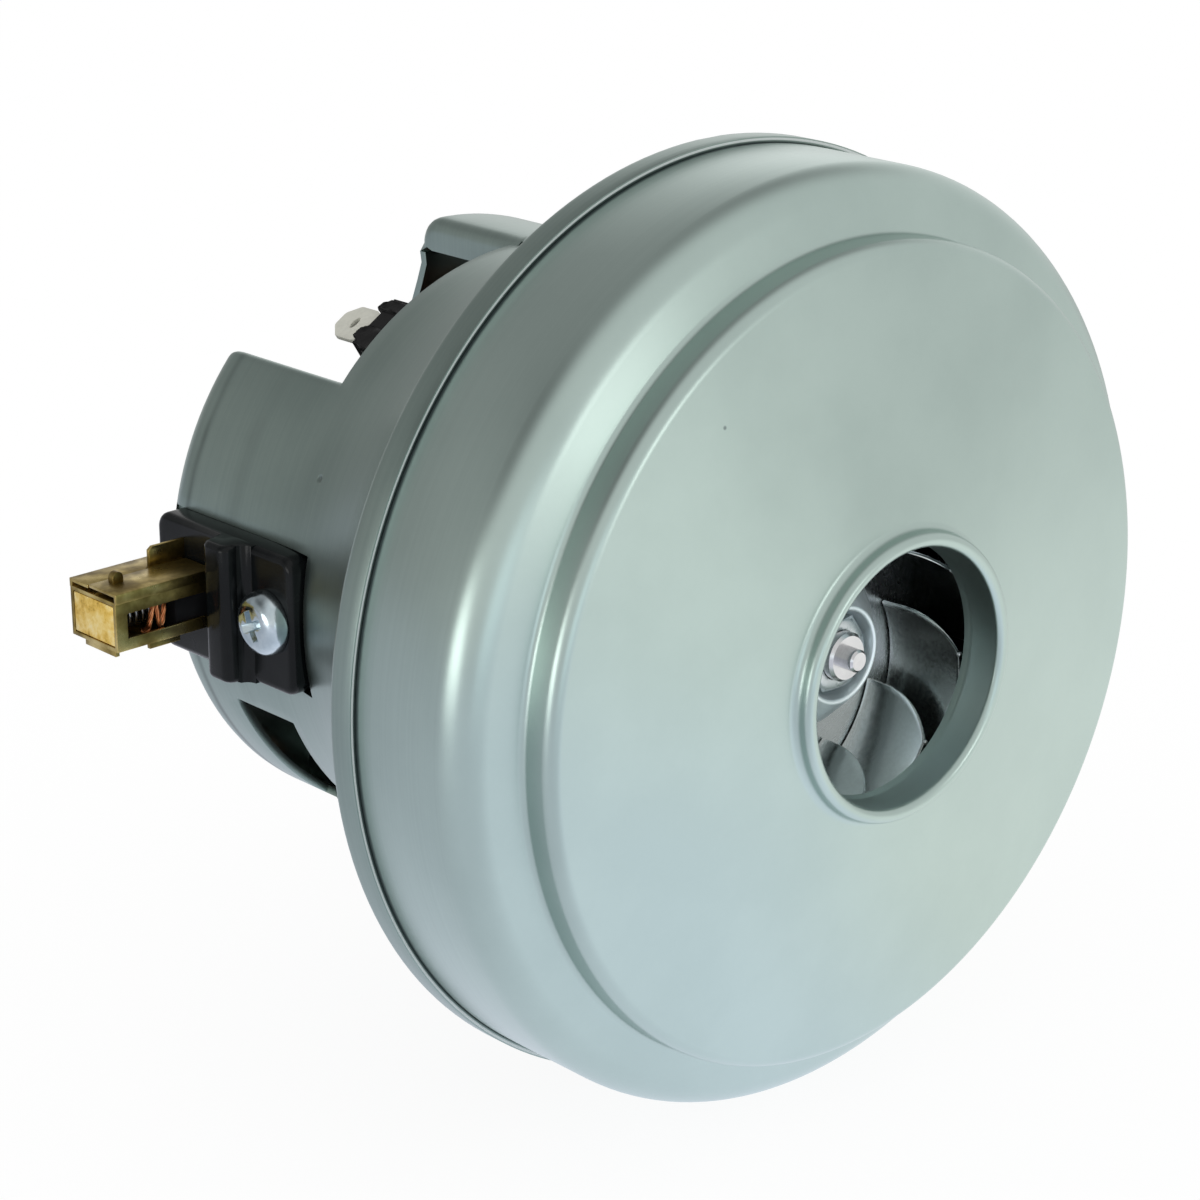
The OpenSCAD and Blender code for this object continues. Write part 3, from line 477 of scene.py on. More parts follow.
motor_frame = draw("motor_frame_sheet", on_frame(front + can + ring, LEG_TO - 180))
reached = LEG_TO - 180
for stop, steps in ((LOBE_FROM, 22), (180 - SEAT_HALF, 15), (180 + SEAT_HALF, 13), (LOBE_TO, 5), (SLOT_TO, 16),
                    (LEG_FROM, 4)):
    spin(stop - reached, steps)
    reached = stop
bpy.ops.object.mode_set(mode="OBJECT")
leg_part = draw("leg_part", on_frame(front + leg + ring, LEG_FROM))
spin(LEG_TO - LEG_FROM - LEG_EDGE, 13)
spin(LEG_EDGE, 1)
bpy.ops.object.mode_set(mode="OBJECT")
join(motor_frame, leg_part)
open_up()
weld()


def pick(piece, kind, test):
    """Selects only the vertices, edges or faces of the open piece whose middle, in millimetres, passes."""
    mesh = bmesh.from_edit_mesh(piece.data)
    bpy.ops.mesh.select_mode(type={"verts": "VERT", "edges": "EDGE", "faces": "FACE"}[kind])
    bpy.ops.mesh.select_all(action="DESELECT")
    for part in getattr(mesh, kind):
        if kind == "verts":
            part.select = bool(test(part.co / MM, part))
        else:
            middle = sum((v.co for v in part.verts), Vector()) / len(part.verts) / MM
            part.select = bool(test(middle, part))
    mesh.select_flush_mode()
    bmesh.update_edit_mesh(piece.data)


def around(p):
    """The angle of a point round the motor axis, from 0 to 360."""
    return degrees(atan2(p[2], p[0])) % 360


def stands_at(p, angle):
    """Whether a point stands at an angle round the motor axis."""
    return abs(around(p) - angle) < 0.05


def out(p):
    """The distance of a point from the motor axis."""
    return hypot(p[0], p[2])


# Windows and slots are cut out
pick(motor_frame, "faces",
     lambda p, f: LEG_TO - 180 < around(p) < LOBE_FROM and p.y > WINDOW_Y and out(p) > RING_R)
bpy.ops.mesh.delete(type="FACE")
pick(motor_frame, "faces", lambda p, f: LOBE_TO < around(p) < SLOT_TO and SLOT_Y[0] < p.y < SLOT_Y[1])
bpy.ops.mesh.delete(type="FACE")

# The steps between the leg and the strip beside it are closed
STEP_SPANS = ((33.9, 61.8), (61.7, 70.7))
for low, high in STEP_SPANS:
    pick(motor_frame, "edges", lambda p, e: (e.is_boundary and stands_at(p, LEG_FROM) and low < p.y < high
                                             and out(p) > RING_R - 0.1))
    bpy.ops.mesh.fill()

# The edges of the lobe and of the leg are turned in
LIP_W = 4.0
LOBE_FOLD = 1.3
LEG_LIP_R = LEG_R - 5.0
LEG_LIP_FROM = 43.3
LEG_LIP_SLANT = 0.7
LEG_FOLD = 2.1


def turned_in(r, y):
    """A point of the lobe's outline moved inwards by the width of its lip."""
    if y < REAR[1]:
        return r - LIP_W, y
    reach = hypot(r - REAR[0], y - REAR[1])
    if r > REAR[0] + 0.01:
        return REAR[0] + (r - REAR[0]) * (1 - LIP_W / reach), REAR[1] + (y - REAR[1]) * (1 - LIP_W / reach)
    return r, y - LIP_W


def leg_turned_in(r, y):
    """A point of the leg's outline moved in to the edge of its lip, whose rear end is slanted."""
    return LEG_LIP_R, y - LEG_LIP_SLANT * max(y - LEG_CORNER[1], 0)


def turn_in(angle, inner, moved):
    """Folds the open edge at an angle round the axis inwards, where it is further out than inner."""
    def on_edge(p, e):
        return e.is_boundary and stands_at(p, angle) and p.y > WINDOW_Y - 0.01 and out(p) > inner

    pick(motor_frame, "edges", on_edge)
    bpy.ops.mesh.extrude_edges_move(TRANSFORM_OT_translate={"value": (0, 0, 0)})
    mesh = bmesh.from_edit_mesh(motor_frame.data)
    for vertex in [v for v in mesh.verts if v.select]:
        p = vertex.co / MM
        r, y = moved(out(p), p.y)
        vertex.co = Vector((p.x * r / out(p), y, p.z * r / out(p))) * MM
    bmesh.update_edit_mesh(motor_frame.data)


turn_in(LOBE_FROM, RING_R, turned_in)
turn_in(LEG_TO, LEG_LIP_FROM, leg_turned_in)
for angle, fold in ((LOBE_FROM, LOBE_FOLD), (LEG_TO, LEG_FOLD)):
    pick(motor_frame, "edges", lambda p, e: (stands_at(p, angle) and len(e.link_faces) == 2
                                             and e.calc_face_angle() > 1.2))
    bpy.ops.mesh.bevel(offset=fold * MM, segments=5, affect="EDGES")

# The lobe is pressed flat under the brush holder, and pierced for its sleeve
SLEEVE_Y = (52.25, 65.85)
SLEEVE_Z = 5.0


def on_seat(p, f):
    return abs(p.x + SEAT_X) < 0.01 and abs(f.normal.x) > 0.9


def pierce(piece, on_face, planes, inside):
    """Cuts a flat of the open piece along planes and takes out what lies inside them."""
    for spot, facing in planes:
        pick(piece, "faces", on_face)
        bpy.ops.mesh.bisect(plane_co=Vector(spot) * MM, plane_no=facing)
    pick(piece, "faces", lambda p, f: on_face(p, f) and inside(p))
    bpy.ops.mesh.delete(type="FACE")


pick(motor_frame, "faces", lambda p, f: (abs(around(p) - 180) < SEAT_HALF and SEAT_Y < p.y < SEAT_END
                                         and out(p) > SEAT_X))
bpy.ops.mesh.extrude_region_move(TRANSFORM_OT_translate={"value": (0, 0, 0)})
bpy.ops.transform.resize(value=(0, 1, 1), center_override=(-SEAT_X * MM, 0, 0))
sleeve_sides = [((0, y, 0), (0, 1, 0)) for y in SLEEVE_Y]
sleeve_sides += [((0, 0, z), (0, 0, 1)) for z in (SLEEVE_Z, -SLEEVE_Z)]
pierce(motor_frame, on_seat, sleeve_sides, lambda p: SLEEVE_Y[0] < p.y < SLEEVE_Y[1] and abs(p.z) < SLEEVE_Z)

# The other half is the same, half a turn on
bpy.ops.mesh.select_mode(type="VERT")
bpy.ops.mesh.select_all(action="SELECT")
bpy.ops.mesh.duplicate()
bpy.ops.transform.rotate(value=pi, orient_axis="Y", center_override=(0, 0, 0))
close_up()
sheet = motor_frame.vertex_groups.new(name="sheet")
sheet.add([v.index for v in motor_frame.data.vertices], 1.0, "REPLACE")
rim = [v.index for v in motor_frame.data.vertices
       if out(v.co) > RIM_GRIP[0] * MM and v.co.y < RIM_GRIP[1] * MM]
sheet.add(rim, SHEET / FRAME_T, "REPLACE")
finish(motor_frame, "SOLIDIFY", thickness=FRAME_T * MM, offset=-1.0, use_quality_normals=True,
       vertex_group="sheet")
soften(motor_frame, 0.12, 38)
FRAME_LIGHT = (0.315, 0.39, 0.36)
FRAME_DARK = (0.27, 0.34, 0.315)
SHADE_AND_LINE_DARK = (0.05, 0.062, 0.06, 1)
CUT_EDGE_AND_GLINT = (0.75, 0.8, 0.79, 1)
DIMPLE = (-0.0422, 0.037, 0.0206)
frame_plating = zinc("zinc_frame", FRAME_LIGHT, FRAME_DARK, 0.36, 0.0)
frame_zinc, place, y, radius, colour, roughness, height = frame_plating
# A thin band on the rim's cut face is bare steel, lighter, rougher and less metallic; it is kept that thin as
# a painted highlight along the rim's rounded end.
cut_edge_and_glint = y.ramp(0.00008, 0.0002, 1.0, 0.0) * (radius - 0.0673).math("ABSOLUTE").ramp(0.0001, 0.00022, 1.0, 0.0)
slow = noise(place, 11.0, 2.0).ramp(0.3, 0.7)
# Painted shade: a dark line of varying strength along the crease just before the rear bend, and a fainter dark
# line across the middle of the lobe, only on the outside of the can.
wander = y + (noise(place, 7.0, 2.0) - 0.5) * 0.0009
crease_shade_and_line = (wander - 0.0647).math("ABSOLUTE").ramp(0.0, 0.001, 0.6, 0.0) * (slow * 0.6 + 0.4)
crease_shade_and_line = crease_shade_and_line + (wander - 0.0542).math("ABSOLUTE").ramp(0.0, 0.0024, 0.16, 0.0) * slow
# The dimple is pressed in by the bump and also painted darker, which is painted shade in its hollow.
dimple = place.distance(DIMPLE).ramp(0.0002, 0.0008, 1, 0)
colour = (crease_shade_and_line * radius.ramp(0.0445, 0.0455) + dimple * 0.35).mix(colour, SHADE_AND_LINE_DARK)
shade(place, cut_edge_and_glint.mix(colour, CUT_EDGE_AND_GLINT), roughness + cut_edge_and_glint * 0.1, 1 - cut_edge_and_glint * 0.7, height - dimple * 12, 0.012)
fit(motor_frame, "housing", "zinc_sheet", frame_zinc, "motor_frame")


# Brush holders: black glass-filled plastic mouldings on the sides of the can. A rib stiffens the plate, a
# sleeve behind it carries the brush box, and one screw holds it to the pressed flat of the lobe.
def block(name, low, high):
    """A box between two corners in millimetres."""
    low = Vector(low) * MM
    high = Vector(high) * MM
    bpy.ops.object.select_all(action="DESELECT")
    bpy.ops.mesh.primitive_cube_add(size=1, location=(low + high) / 2, scale=high - low)
    bpy.ops.object.transform_apply(location=True, rotation=True, scale=True)
    piece = bpy.context.object
    piece.name = name
    return piece


def carve(piece, tool, operation="DIFFERENCE"):
    """Takes a tool out of the piece, or adds it, and throws the tool away."""
    finish(piece, "BOOLEAN", object=tool, operation=operation, solver="EXACT")
    bpy.data.objects.remove(tool)


def pin(name, start, length, radius, axis, sides=48):
    """A round bar in millimetres from a point along X or Y."""
    along = Vector({"X": (1, 0, 0), "Y": (0, 1, 0)}[axis])
    turn = {"X": (0, pi / 2, 0), "Y": (-pi / 2, 0, 0)}[axis]
    bpy.ops.object.select_all(action="DESELECT")
    bpy.ops.mesh.primitive_cylinder_add(vertices=sides, radius=radius * MM, depth=length * MM, rotation=turn,
                                        location=(Vector(start) + along * length / 2) * MM)
    bpy.ops.object.transform_apply(location=True, rotation=True, scale=True)
    piece = bpy.context.object
    piece.name = name
    return piece


def slab(name, outline, depth):
    """A plate drawn as a closed outline in millimetres and pulled out by a vector."""
    piece = draw(name, outline + outline[:1])
    weld()
    bpy.ops.mesh.edge_face_add()
    bpy.ops.mesh.extrude_region_move(TRANSFORM_OT_translate={"value": Vector(depth) * MM})
    close_up()
    return piece


def copied(piece):
    """A copy with its own mesh, selected and open for editing."""
    take(piece)
    bpy.ops.object.duplicate()
    open_up()
    return bpy.context.object


def swing(angle):
    """Turns the open piece round the motor axis, from +X towards +Z, and leaves edit mode."""
    bpy.ops.transform.rotate(value=radians(angle), orient_axis="Y", center_override=(0, 0, 0))
    bpy.ops.object.mode_set(mode="OBJECT")


def opposite(piece, name):
    """A copy with its own mesh, half a turn round the motor axis."""
    twin = copied(piece)
    twin.name = name
    swing(180)
    return twin


def fit_pair(piece, slot, material, node):
    """Fits a piece to the housing in place of its node, and a copy in place of the node half a turn on."""
    def across(name):
        return name.replace("left", "right").replace("upper", "lower")

    twin = opposite(piece, across(piece.name))
    fit(piece, "housing", slot, material, node)
    fit(twin, "housing", slot, material, across(node))
    return piece, twin


HOLDER_X = 48.8
HOLDER_BACK = 43.65
HOLDER_Y = (35.8, 67.4)
HOLDER_H = 10.3
HOLDER_ROUND = 2.4
HOLDER_EDGE = 1.1
BRUSH_Y = 59.05
BOX_W = 5.5
BOX_H = 3.7
BOX_FREE = 0.05
SLEEVE = 1.1
SLEEVE_END = -22
RIB_Y = 49.3
RIB_R = 2.9
RIB_X = 52.3
RIB_FILLET = 1.7
RIB_CREST = 1.8
RIB_EDGE = 0.9
SCREW_Y = 41.3
HEAD_POCKET = 4.85
SCREW_HOLE = 2.3
OUTSIDE = -60

plate = []
for y, z, start in ((HOLDER_Y[1] - HOLDER_ROUND, HOLDER_H - HOLDER_ROUND, 0),
                    (HOLDER_Y[0] + HOLDER_ROUND, HOLDER_H - HOLDER_ROUND, 90),
                    (HOLDER_Y[0] + HOLDER_ROUND, HOLDER_ROUND - HOLDER_H, 180),
                    (HOLDER_Y[1] - HOLDER_ROUND, HOLDER_ROUND - HOLDER_H, 270)):
    plate += arc((y, z), HOLDER_ROUND, start, start + 90, 8)
holder = slab("brush_holder_left_moulding", [(-HOLDER_BACK, y, z) for y, z in plate],
              (HOLDER_BACK - HOLDER_X, 0, 0))
bpy.ops.object.mode_set(mode="EDIT")
pick(holder, "edges", lambda p, e: p.x < 0.01 - HOLDER_X and e.calc_face_angle() > 1.2)
bpy.ops.mesh.bevel(offset=HOLDER_EDGE * MM, segments=5, affect="EDGES")
bpy.ops.object.mode_set(mode="OBJECT")
rib_from = RIB_Y - RIB_R
rib_to = RIB_Y + RIB_R
rib_plan = [(1.0 - HOLDER_X, rib_from - RIB_FILLET)]
rib_plan += arc((-HOLDER_X - RIB_FILLET, rib_from - RIB_FILLET), RIB_FILLET, 0, 90, 7)
rib_plan += arc((RIB_CREST - RIB_X, rib_from + RIB_CREST), RIB_CREST, 270, 180, 7)
rib_plan += arc((RIB_CREST - RIB_X, rib_to - RIB_CREST), RIB_CREST, 180, 90, 7) + [(1.0 - HOLDER_X, rib_to)]
rib = slab("rib", [(x, y, -HOLDER_H) for x, y in rib_plan], (0, 0, 2 * HOLDER_H))
bpy.ops.object.mode_set(mode="EDIT")
pick(rib, "edges", lambda p, e: abs(p.z) > HOLDER_H - 0.01 and p.x < -HOLDER_X - RIB_FILLET)
bpy.ops.mesh.bevel(offset=RIB_EDGE * MM, segments=4, affect="EDGES")
bpy.ops.object.mode_set(mode="OBJECT")
carve(holder, rib, "UNION")


def box_tool(from_x, to_x, wider):
    """A bar as wide and high as the brush box and a little more on each side."""
    return block("box_tool", (from_x, BRUSH_Y - BOX_W - wider, -BOX_H - wider),
                 (to_x, BRUSH_Y + BOX_W + wider, BOX_H + wider))


carve(holder, box_tool(-HOLDER_BACK - 1, SLEEVE_END, SLEEVE), "UNION")
carve(holder, box_tool(OUTSIDE, -10, BOX_FREE))
carve(holder, pin("head_tool", (OUTSIDE, SCREW_Y, 0), -OUTSIDE - HOLDER_X, HEAD_POCKET, "X", 64))
carve(holder, pin("hole_tool", (OUTSIDE, SCREW_Y, 0), 30, SCREW_HOLE, "X"))
soften(holder, 0.12)


def moulded(name, light, dark, glossy, dull, depth=0.006):
    """Moulded plastic: a fine grain, and smears that are lighter and duller. Its mirror is weak."""
    material, place = surface(name)
    smear = noise(place, 6, 3.0)
    shade(place, smear.ramp(0.4, 0.75).mix((*dark, 1), (*light, 1)), smear.ramp(0.3, 0.75, glossy, dull), 0.0,
          noise(place, 0.35, 2.0), depth, Specular_IOR_Level=0.17)
    return material


black = moulded("black_moulding", (0.01, 0.0115, 0.012), (0.004, 0.005, 0.0055), 0.13, 0.3)
fit_pair(holder, "black_plastic", black, "brush_holder_left")

# Brush boxes: folded from brass strip round the carbon brush. The near side has a long slot for the lead,
# a lid in two halves with a thin seam, a tag and a nib closes the top, and two tabs are bent out below.
BOX_OUT = 66.0
BOX_IN = 16.0
BRASS_T = 0.6
NEAR = BRUSH_Y - BOX_W
FAR = BRUSH_Y + BOX_W
SLOT_X = (-64.0, -46.0)
SLOT_Z = (-1.95, 1.7)
LID_FOOT = 3.5
LID_TOP = 5.0
LID_T = 0.5
LID_L = 16.8
LID_SEAM = BRUSH_Y + 0.9
SEAM_HALF = 0.15
FAR_LID_TOP = LID_TOP - 0.2
TAG = ((-55.0, 4.5), (-55.0, 7.2), (-54.3, 7.7), (-47.5, 7.7), (-47.5, 4.5))
NIB = [(-63.5, 4.6)] + arc((-62.6, 5.7), 0.9, 180, 0, 8) + [(-61.7, 4.6)]
NEAR_LID = ((NEAR - 0.25, LID_FOOT), (NEAR - 0.25, LID_TOP), (LID_SEAM - SEAM_HALF, LID_TOP),
            (LID_SEAM - SEAM_HALF, LID_TOP - LID_T), (NEAR + 0.3, LID_TOP - LID_T), (NEAR + 0.3, LID_FOOT))
FAR_LID = ((LID_SEAM + SEAM_HALF, FAR_LID_TOP - LID_T), (LID_SEAM + SEAM_HALF, FAR_LID_TOP),
           (FAR + 0.1, FAR_LID_TOP), (FAR + 0.1, LID_FOOT), (FAR - 0.45, LID_FOOT),
           (FAR - 0.45, FAR_LID_TOP - LID_T))


def on_near_side(p, f):
    return f.normal.y < -0.9


brush_box = block("brush_box_left_strip", (-BOX_OUT, NEAR, -BOX_H), (-BOX_IN, FAR, BOX_H))
bpy.ops.object.mode_set(mode="EDIT")
pick(brush_box, "faces", lambda p, f: abs(f.normal.x) > 0.9)
bpy.ops.mesh.delete(type="ONLY_FACE")
slot_sides = [((x, 0, 0), (1, 0, 0)) for x in SLOT_X] + [((0, 0, z), (0, 0, 1)) for z in SLOT_Z]
pierce(brush_box, on_near_side, slot_sides,
       lambda p: SLOT_X[0] < p.x < SLOT_X[1] and SLOT_Z[0] < p.z < SLOT_Z[1])
bpy.ops.object.mode_set(mode="OBJECT")
finish(brush_box, "SOLIDIFY", thickness=BRASS_T * MM, offset=-1.0, use_even_offset=True)
tag = slab("tag", [(x, BRUSH_Y + 1.6, z) for x, z in TAG], (0, 0.6, 0))
nib = slab("nib", [(x, BRUSH_Y - 1.6, z) for x, z in NIB], (0, 1.2, 0))
near_lid, far_lid = [slab("lid", [(-BOX_OUT, y, z) for y, z in side], (LID_L, 0, 0))
                     for side in (NEAR_LID, FAR_LID)]
end_tab = block("end_tab", (-65.6, BRUSH_Y - 4.4, -BOX_H - 1.0), (-64.9, BRUSH_Y + 3.0, 0.2 - BOX_H))
low_tab = block("low_tab", (-60.3, NEAR + 0.3, -BOX_H - 0.9), (-55.0, NEAR + 1.0, 0.2 - BOX_H))
join(brush_box, tag, nib, near_lid, far_lid, end_tab, low_tab)
soften(brush_box, 0.1)
BRASS_STOPS = [(0.15, (0.2, 0.14, 0.04)), (0.5, (0.44, 0.33, 0.11)), (0.85, (0.72, 0.57, 0.24))]
brass, place = surface("brass_strip")
stain = noise(place, 3.5, 4.0)
scuff = noise(place, 0.7, 3.0)
tone = stain.ramp(0.35, 0.7) * 0.7 + scuff * 0.3
shade(place, tone.node("ShaderNodeValToRGB", {"stops": BRASS_STOPS}, {0: tone}),
      stain.ramp(0.3, 0.7, 0.42, 0.24), 1.0, scuff, 0.01)
fit_pair(brush_box, "brass_sheet", brass, "brush_box_left")

# Box caps: pressed brass plates that close the outer ends of the boxes and carry the springs. They are
# held by the folded strip round them, and their faces are mottled.
CAP_FREE = BRASS_T + 0.12
CAP_X = (0.05 - BOX_OUT, 0.85 - BOX_OUT)
cap = block("box_cap_left_plate", (CAP_X[0], NEAR + CAP_FREE, CAP_FREE - BOX_H),
            (CAP_X[1], FAR - CAP_FREE, BOX_H - CAP_FREE))
soften(cap, 0.22)
GOLD_STOPS = [(0.34, (0.42, 0.25, 0.03)), (0.46, (0.78, 0.52, 0.1)), (0.58, (0.92, 0.7, 0.25)),
              (0.72, (0.95, 0.83, 0.5))]
gold, place = surface("mottled_brass")
patch = noise(place, 1.5, 5.0, 0.65)
tone = patch * 0.8 + noise(place, 0.45, 2.0) * 0.2
shade(place, tone.node("ShaderNodeValToRGB", {"stops": GOLD_STOPS}, {0: tone}),
      patch.ramp(0.3, 0.7, 0.5, 0.34), 0.55, tone, 0.05)
fit_pair(cap, "brass_sheet", gold, "box_cap_left")

# Holder screws: pan heads with a cross recess, made of zinc-plated steel and driven through the holder's
# plate into the frame.
HEAD_R = 4.7
HEAD_H = 3.0
HEAD_SIDE = -0.7
HEAD_BACK = -0.05
CROWN_R = 2.3
SHANK_R = 2.1
SHANK_END = HOLDER_X - 41.4
RECESS = ((0.75, 2.6), (2.6, 0.75))
RECESS_X = (-4.2, -1.0)
RECESS_TAPER = 0.62
RECESS_TURN = 24
profile = [(0, SHANK_END), (1.5, SHANK_END), (SHANK_R, SHANK_END - 0.8), (SHANK_R, HEAD_BACK)]
profile += [(HEAD_R, HEAD_BACK)] + arc((HEAD_R - CROWN_R, HEAD_SIDE), CROWN_R, 0, -90, 8)
profile += [(1.2, -HEAD_H - 0.12), (0, -HEAD_H - 0.15)]
screw = draw("holder_screws_zinc", [(x, r, 0) for r, x in profile])
bpy.ops.mesh.spin(steps=48, angle=2 * pi, center=(0, 0, 0), axis=(1, 0, 0))
close_up()
for half_y, half_z in RECESS:
    blade = block("recess", (RECESS_X[0], -half_y, -half_z), (RECESS_X[1], half_y, half_z))
    bpy.ops.object.mode_set(mode="EDIT")
    pick(blade, "verts", lambda p, v: p.x > -2)
    bpy.ops.transform.resize(value=(1, RECESS_TAPER, RECESS_TAPER), center_override=(0, 0, 0))
    bpy.ops.object.mode_set(mode="OBJECT")
    carve(screw, blade)
open_up()
bpy.ops.transform.rotate(value=radians(RECESS_TURN), orient_axis="X", center_override=(0, 0, 0))
bpy.ops.transform.translate(value=(-HOLDER_X * MM, SCREW_Y * MM, 0))
bpy.ops.object.mode_set(mode="OBJECT")
soften(screw, 0.1, 30)
join(screw, opposite(screw, "screw_twin"))
bright, place = surface("bright_zinc")
haze = noise(place, 2.0, 3.0)
shade(place, haze.ramp(0.3, 0.7).mix((0.42, 0.5, 0.54, 1), (0.6, 0.68, 0.71, 1)),
      haze.ramp(0.3, 0.7, 0.12, 0.26), 1.0, noise(place, 0.4, 2.0), 0.008)
fit(screw, "housing", "zinc_screw", bright, "holder_screws")

# Brush springs: coils of thin steel wire between the cap and the brush.
SPRING_X = (-64.86, -55.69)
SPRING_L = SPRING_X[1] - SPRING_X[0]
SPRING_R = 2.2
SPRING_WIRE = 0.26
CURLS = 9
CURL_STEPS = 18
END_CURL = 0.8
END_RISE = 0.5


def wire(name, points, radius, sides=8):
    """A round wire through points in millimetres."""
    piece = draw(name, points)
    weld()
    bpy.ops.object.mode_set(mode="OBJECT")
    bpy.ops.object.convert(target="CURVE")
    piece = bpy.context.object
    piece.data.dimensions = "3D"
    piece.data.bevel_depth = radius * MM
    piece.data.bevel_resolution = sides // 2 - 2
    piece.data.use_fill_caps = True
    bpy.ops.object.convert(target="MESH")
    piece = bpy.context.object
    bpy.ops.object.mode_set(mode="EDIT")
    close_up()
    bpy.ops.object.shade_smooth_by_angle(angle=radians(50))
    return piece


def squeeze(pair, anchor_x):
    """Gives the left and right pieces each a mesh of their own. anchor_x is not used."""
    for piece, side, sign in zip(pair, ("left", "right"), (1, -1)):
        sign * anchor_x * MM
        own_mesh(piece)


coil = []
for i in range(CURLS * CURL_STEPS + 1):
    turn = i / CURL_STEPS
    run = min(max((turn - END_CURL) / (CURLS - 2 * END_CURL), 0), 1)
    ends = min(turn, END_CURL) / END_CURL + max(turn - CURLS + END_CURL, 0) / END_CURL
    x = SPRING_X[0] + (SPRING_L - 2 * END_RISE) * run + END_RISE * ends
    coil.append((x, BRUSH_Y + SPRING_R * cos(2 * pi * turn), SPRING_R * sin(2 * pi * turn)))
spring = wire("brush_spring_left_coil", coil, SPRING_WIRE)
spring_steel, place = surface("spring_wire")
shade(place, noise(place, 0.8, 2.0).mix((0.3, 0.31, 0.32, 1), (0.5, 0.51, 0.52, 1)),
      noise(place, 0.6, 2.0).ramp(0.3, 0.7, 0.25, 0.4), 1.0, noise(place, 0.15, 2.0), 0.005)
springs = fit_pair(spring, "spring_steel", spring_steel, "brush_spring_left")
squeeze(springs, SPRING_X[0])

# Brush leads: twisted strands of bare copper from the back of the brush, folded up and down behind the
# slot, to the floor of the box.
STRANDS = 6
STRAND_R = 0.14
TWIST_R = 0.26
TWIST_STEPS = 12
LEAD_STEPS = 40
LEAD_ANCHOR = -60.5
BENDS = [(-55.4, 57.4, 0.9), (-56.3, 55.6, 1.5), (-57.0, 55.0, -0.2), (-57.3, 55.0, -1.7), (-57.7, 55.0, -1.8),
         (-58.0, 55.0, 0.0), (-58.3, 55.0, 1.5), (-58.7, 55.0, 1.5), (-59.1, 55.1, -0.4), (-59.5, 55.3, -2.1),
         (-59.9, 56.2, -2.5)]
middle = []
for i in range(LEAD_STEPS + 1):
    t = i / LEAD_STEPS * (len(BENDS) - 1)
    k = min(int(t), len(BENDS) - 2)
    a, b, c, d = [Vector(BENDS[min(max(k + j, 0), len(BENDS) - 1)]) for j in (-1, 0, 1, 2)]
    u = t - k
    curve = 2 * a - 5 * b + 4 * c - d + u * (3 * (b - c) + d - a)
    middle.append(b + 0.5 * u * (c - a + u * curve))
strands = []
for k in range(STRANDS):
    twist = []
    for i, point in enumerate(middle):
        ahead = (middle[min(i + 1, LEAD_STEPS)] - middle[max(i - 1, 0)]).normalized()
        side = ahead.cross(Vector((0.2, 1, 0.1))).normalized()
        turn = 2 * pi * (k / STRANDS + i / TWIST_STEPS)
        twist.append(point + (side * cos(turn) + ahead.cross(side) * sin(turn)) * TWIST_R)
    strands.append(wire("strand", twist, STRAND_R, 6))
lead = strands[0]
lead.name = "brush_lead_left_strands"
join(lead, *strands[1:])
copper, place = surface("bare_copper")
shade(place, noise(place, 0.9, 3.0).ramp(0.3, 0.7).mix((0.42, 0.14, 0.05, 1), (0.74, 0.33, 0.15, 1)),
      noise(place, 0.5, 2.0).ramp(0.3, 0.7, 0.28, 0.42), 1.0, noise(place, 0.12, 2.0), 0.004)
leads = fit_pair(lead, "copper_strand", copper, "brush_lead_left")
squeeze(leads, LEAD_ANCHOR)


# Carbon brushes: blocks pressed from carbon powder that slide in the boxes and rest on the commutator.
# Their sides are rubbed smooth.
def coat(material, *names):
    """Gives a material to nodes that keep their CAD shape."""
    for name in names:
        for slot in nodes[name].material_slots:
            slot.material = material


coat(moulded("pressed_carbon", (0.02, 0.02, 0.022), (0.007, 0.007, 0.008), 0.4, 0.6, 0.01),
     "carbon_brush_left", "carbon_brush_right")


# Stator: a stack of punched electrical steel, held to the front bracket by two long screws in spacers. The
# edges of its sheets show as fine lines, and moulded frames at both ends keep the coils off the steel.
def metal(name, light, dark, roughness, radial=0.0, axial=0.0, metallic=1.0):
    """Metal with stains and a grain. The marks of turning or of stacked sheets run across the axis."""
    material, place = surface(name)
    stain = noise(place, 4.0, 3.0)
    fine = noise(place, 0.35, 2.0)
    if radial or axial:
        x, y, z = place.parts()
        radius = (x * x + z * z).math("SQRT")
        lines = place.node("ShaderNodeCombineXYZ", None, {0: radius * radial, 1: y * axial, 2: 0.0})
        marks = place.node("ShaderNodeTexNoise", None, {"Vector": lines, "Scale": 1.0, "Detail": 2.0}, 0)
        fine = fine * 0.35 + marks * 0.65
    tone = stain.ramp(0.3, 0.7) * 0.5 + fine.ramp(0.25, 0.75) * 0.5
    shade(place, tone.mix((*dark, 1), (*light, 1)), roughness + (fine - 0.5) * 0.2, metallic, fine, 0.01)
    return material


stacked = metal("stacked_steel", (0.34, 0.35, 0.36), (0.15, 0.155, 0.16), 0.48, 0.0, 2400.0)
frame_black = moulded("frame_moulding", (0.018, 0.018, 0.019), (0.007, 0.007, 0.007), 0.4, 0.6, 0.03)
plated = metal("plated_steel", (0.62, 0.66, 0.67), (0.46, 0.5, 0.51), 0.3)
coat(stacked, "stator_core")
coat(frame_black, "coil_frame_front", "coil_frame_rear")
coat(plated, "stator_screws", "stator_spacers")

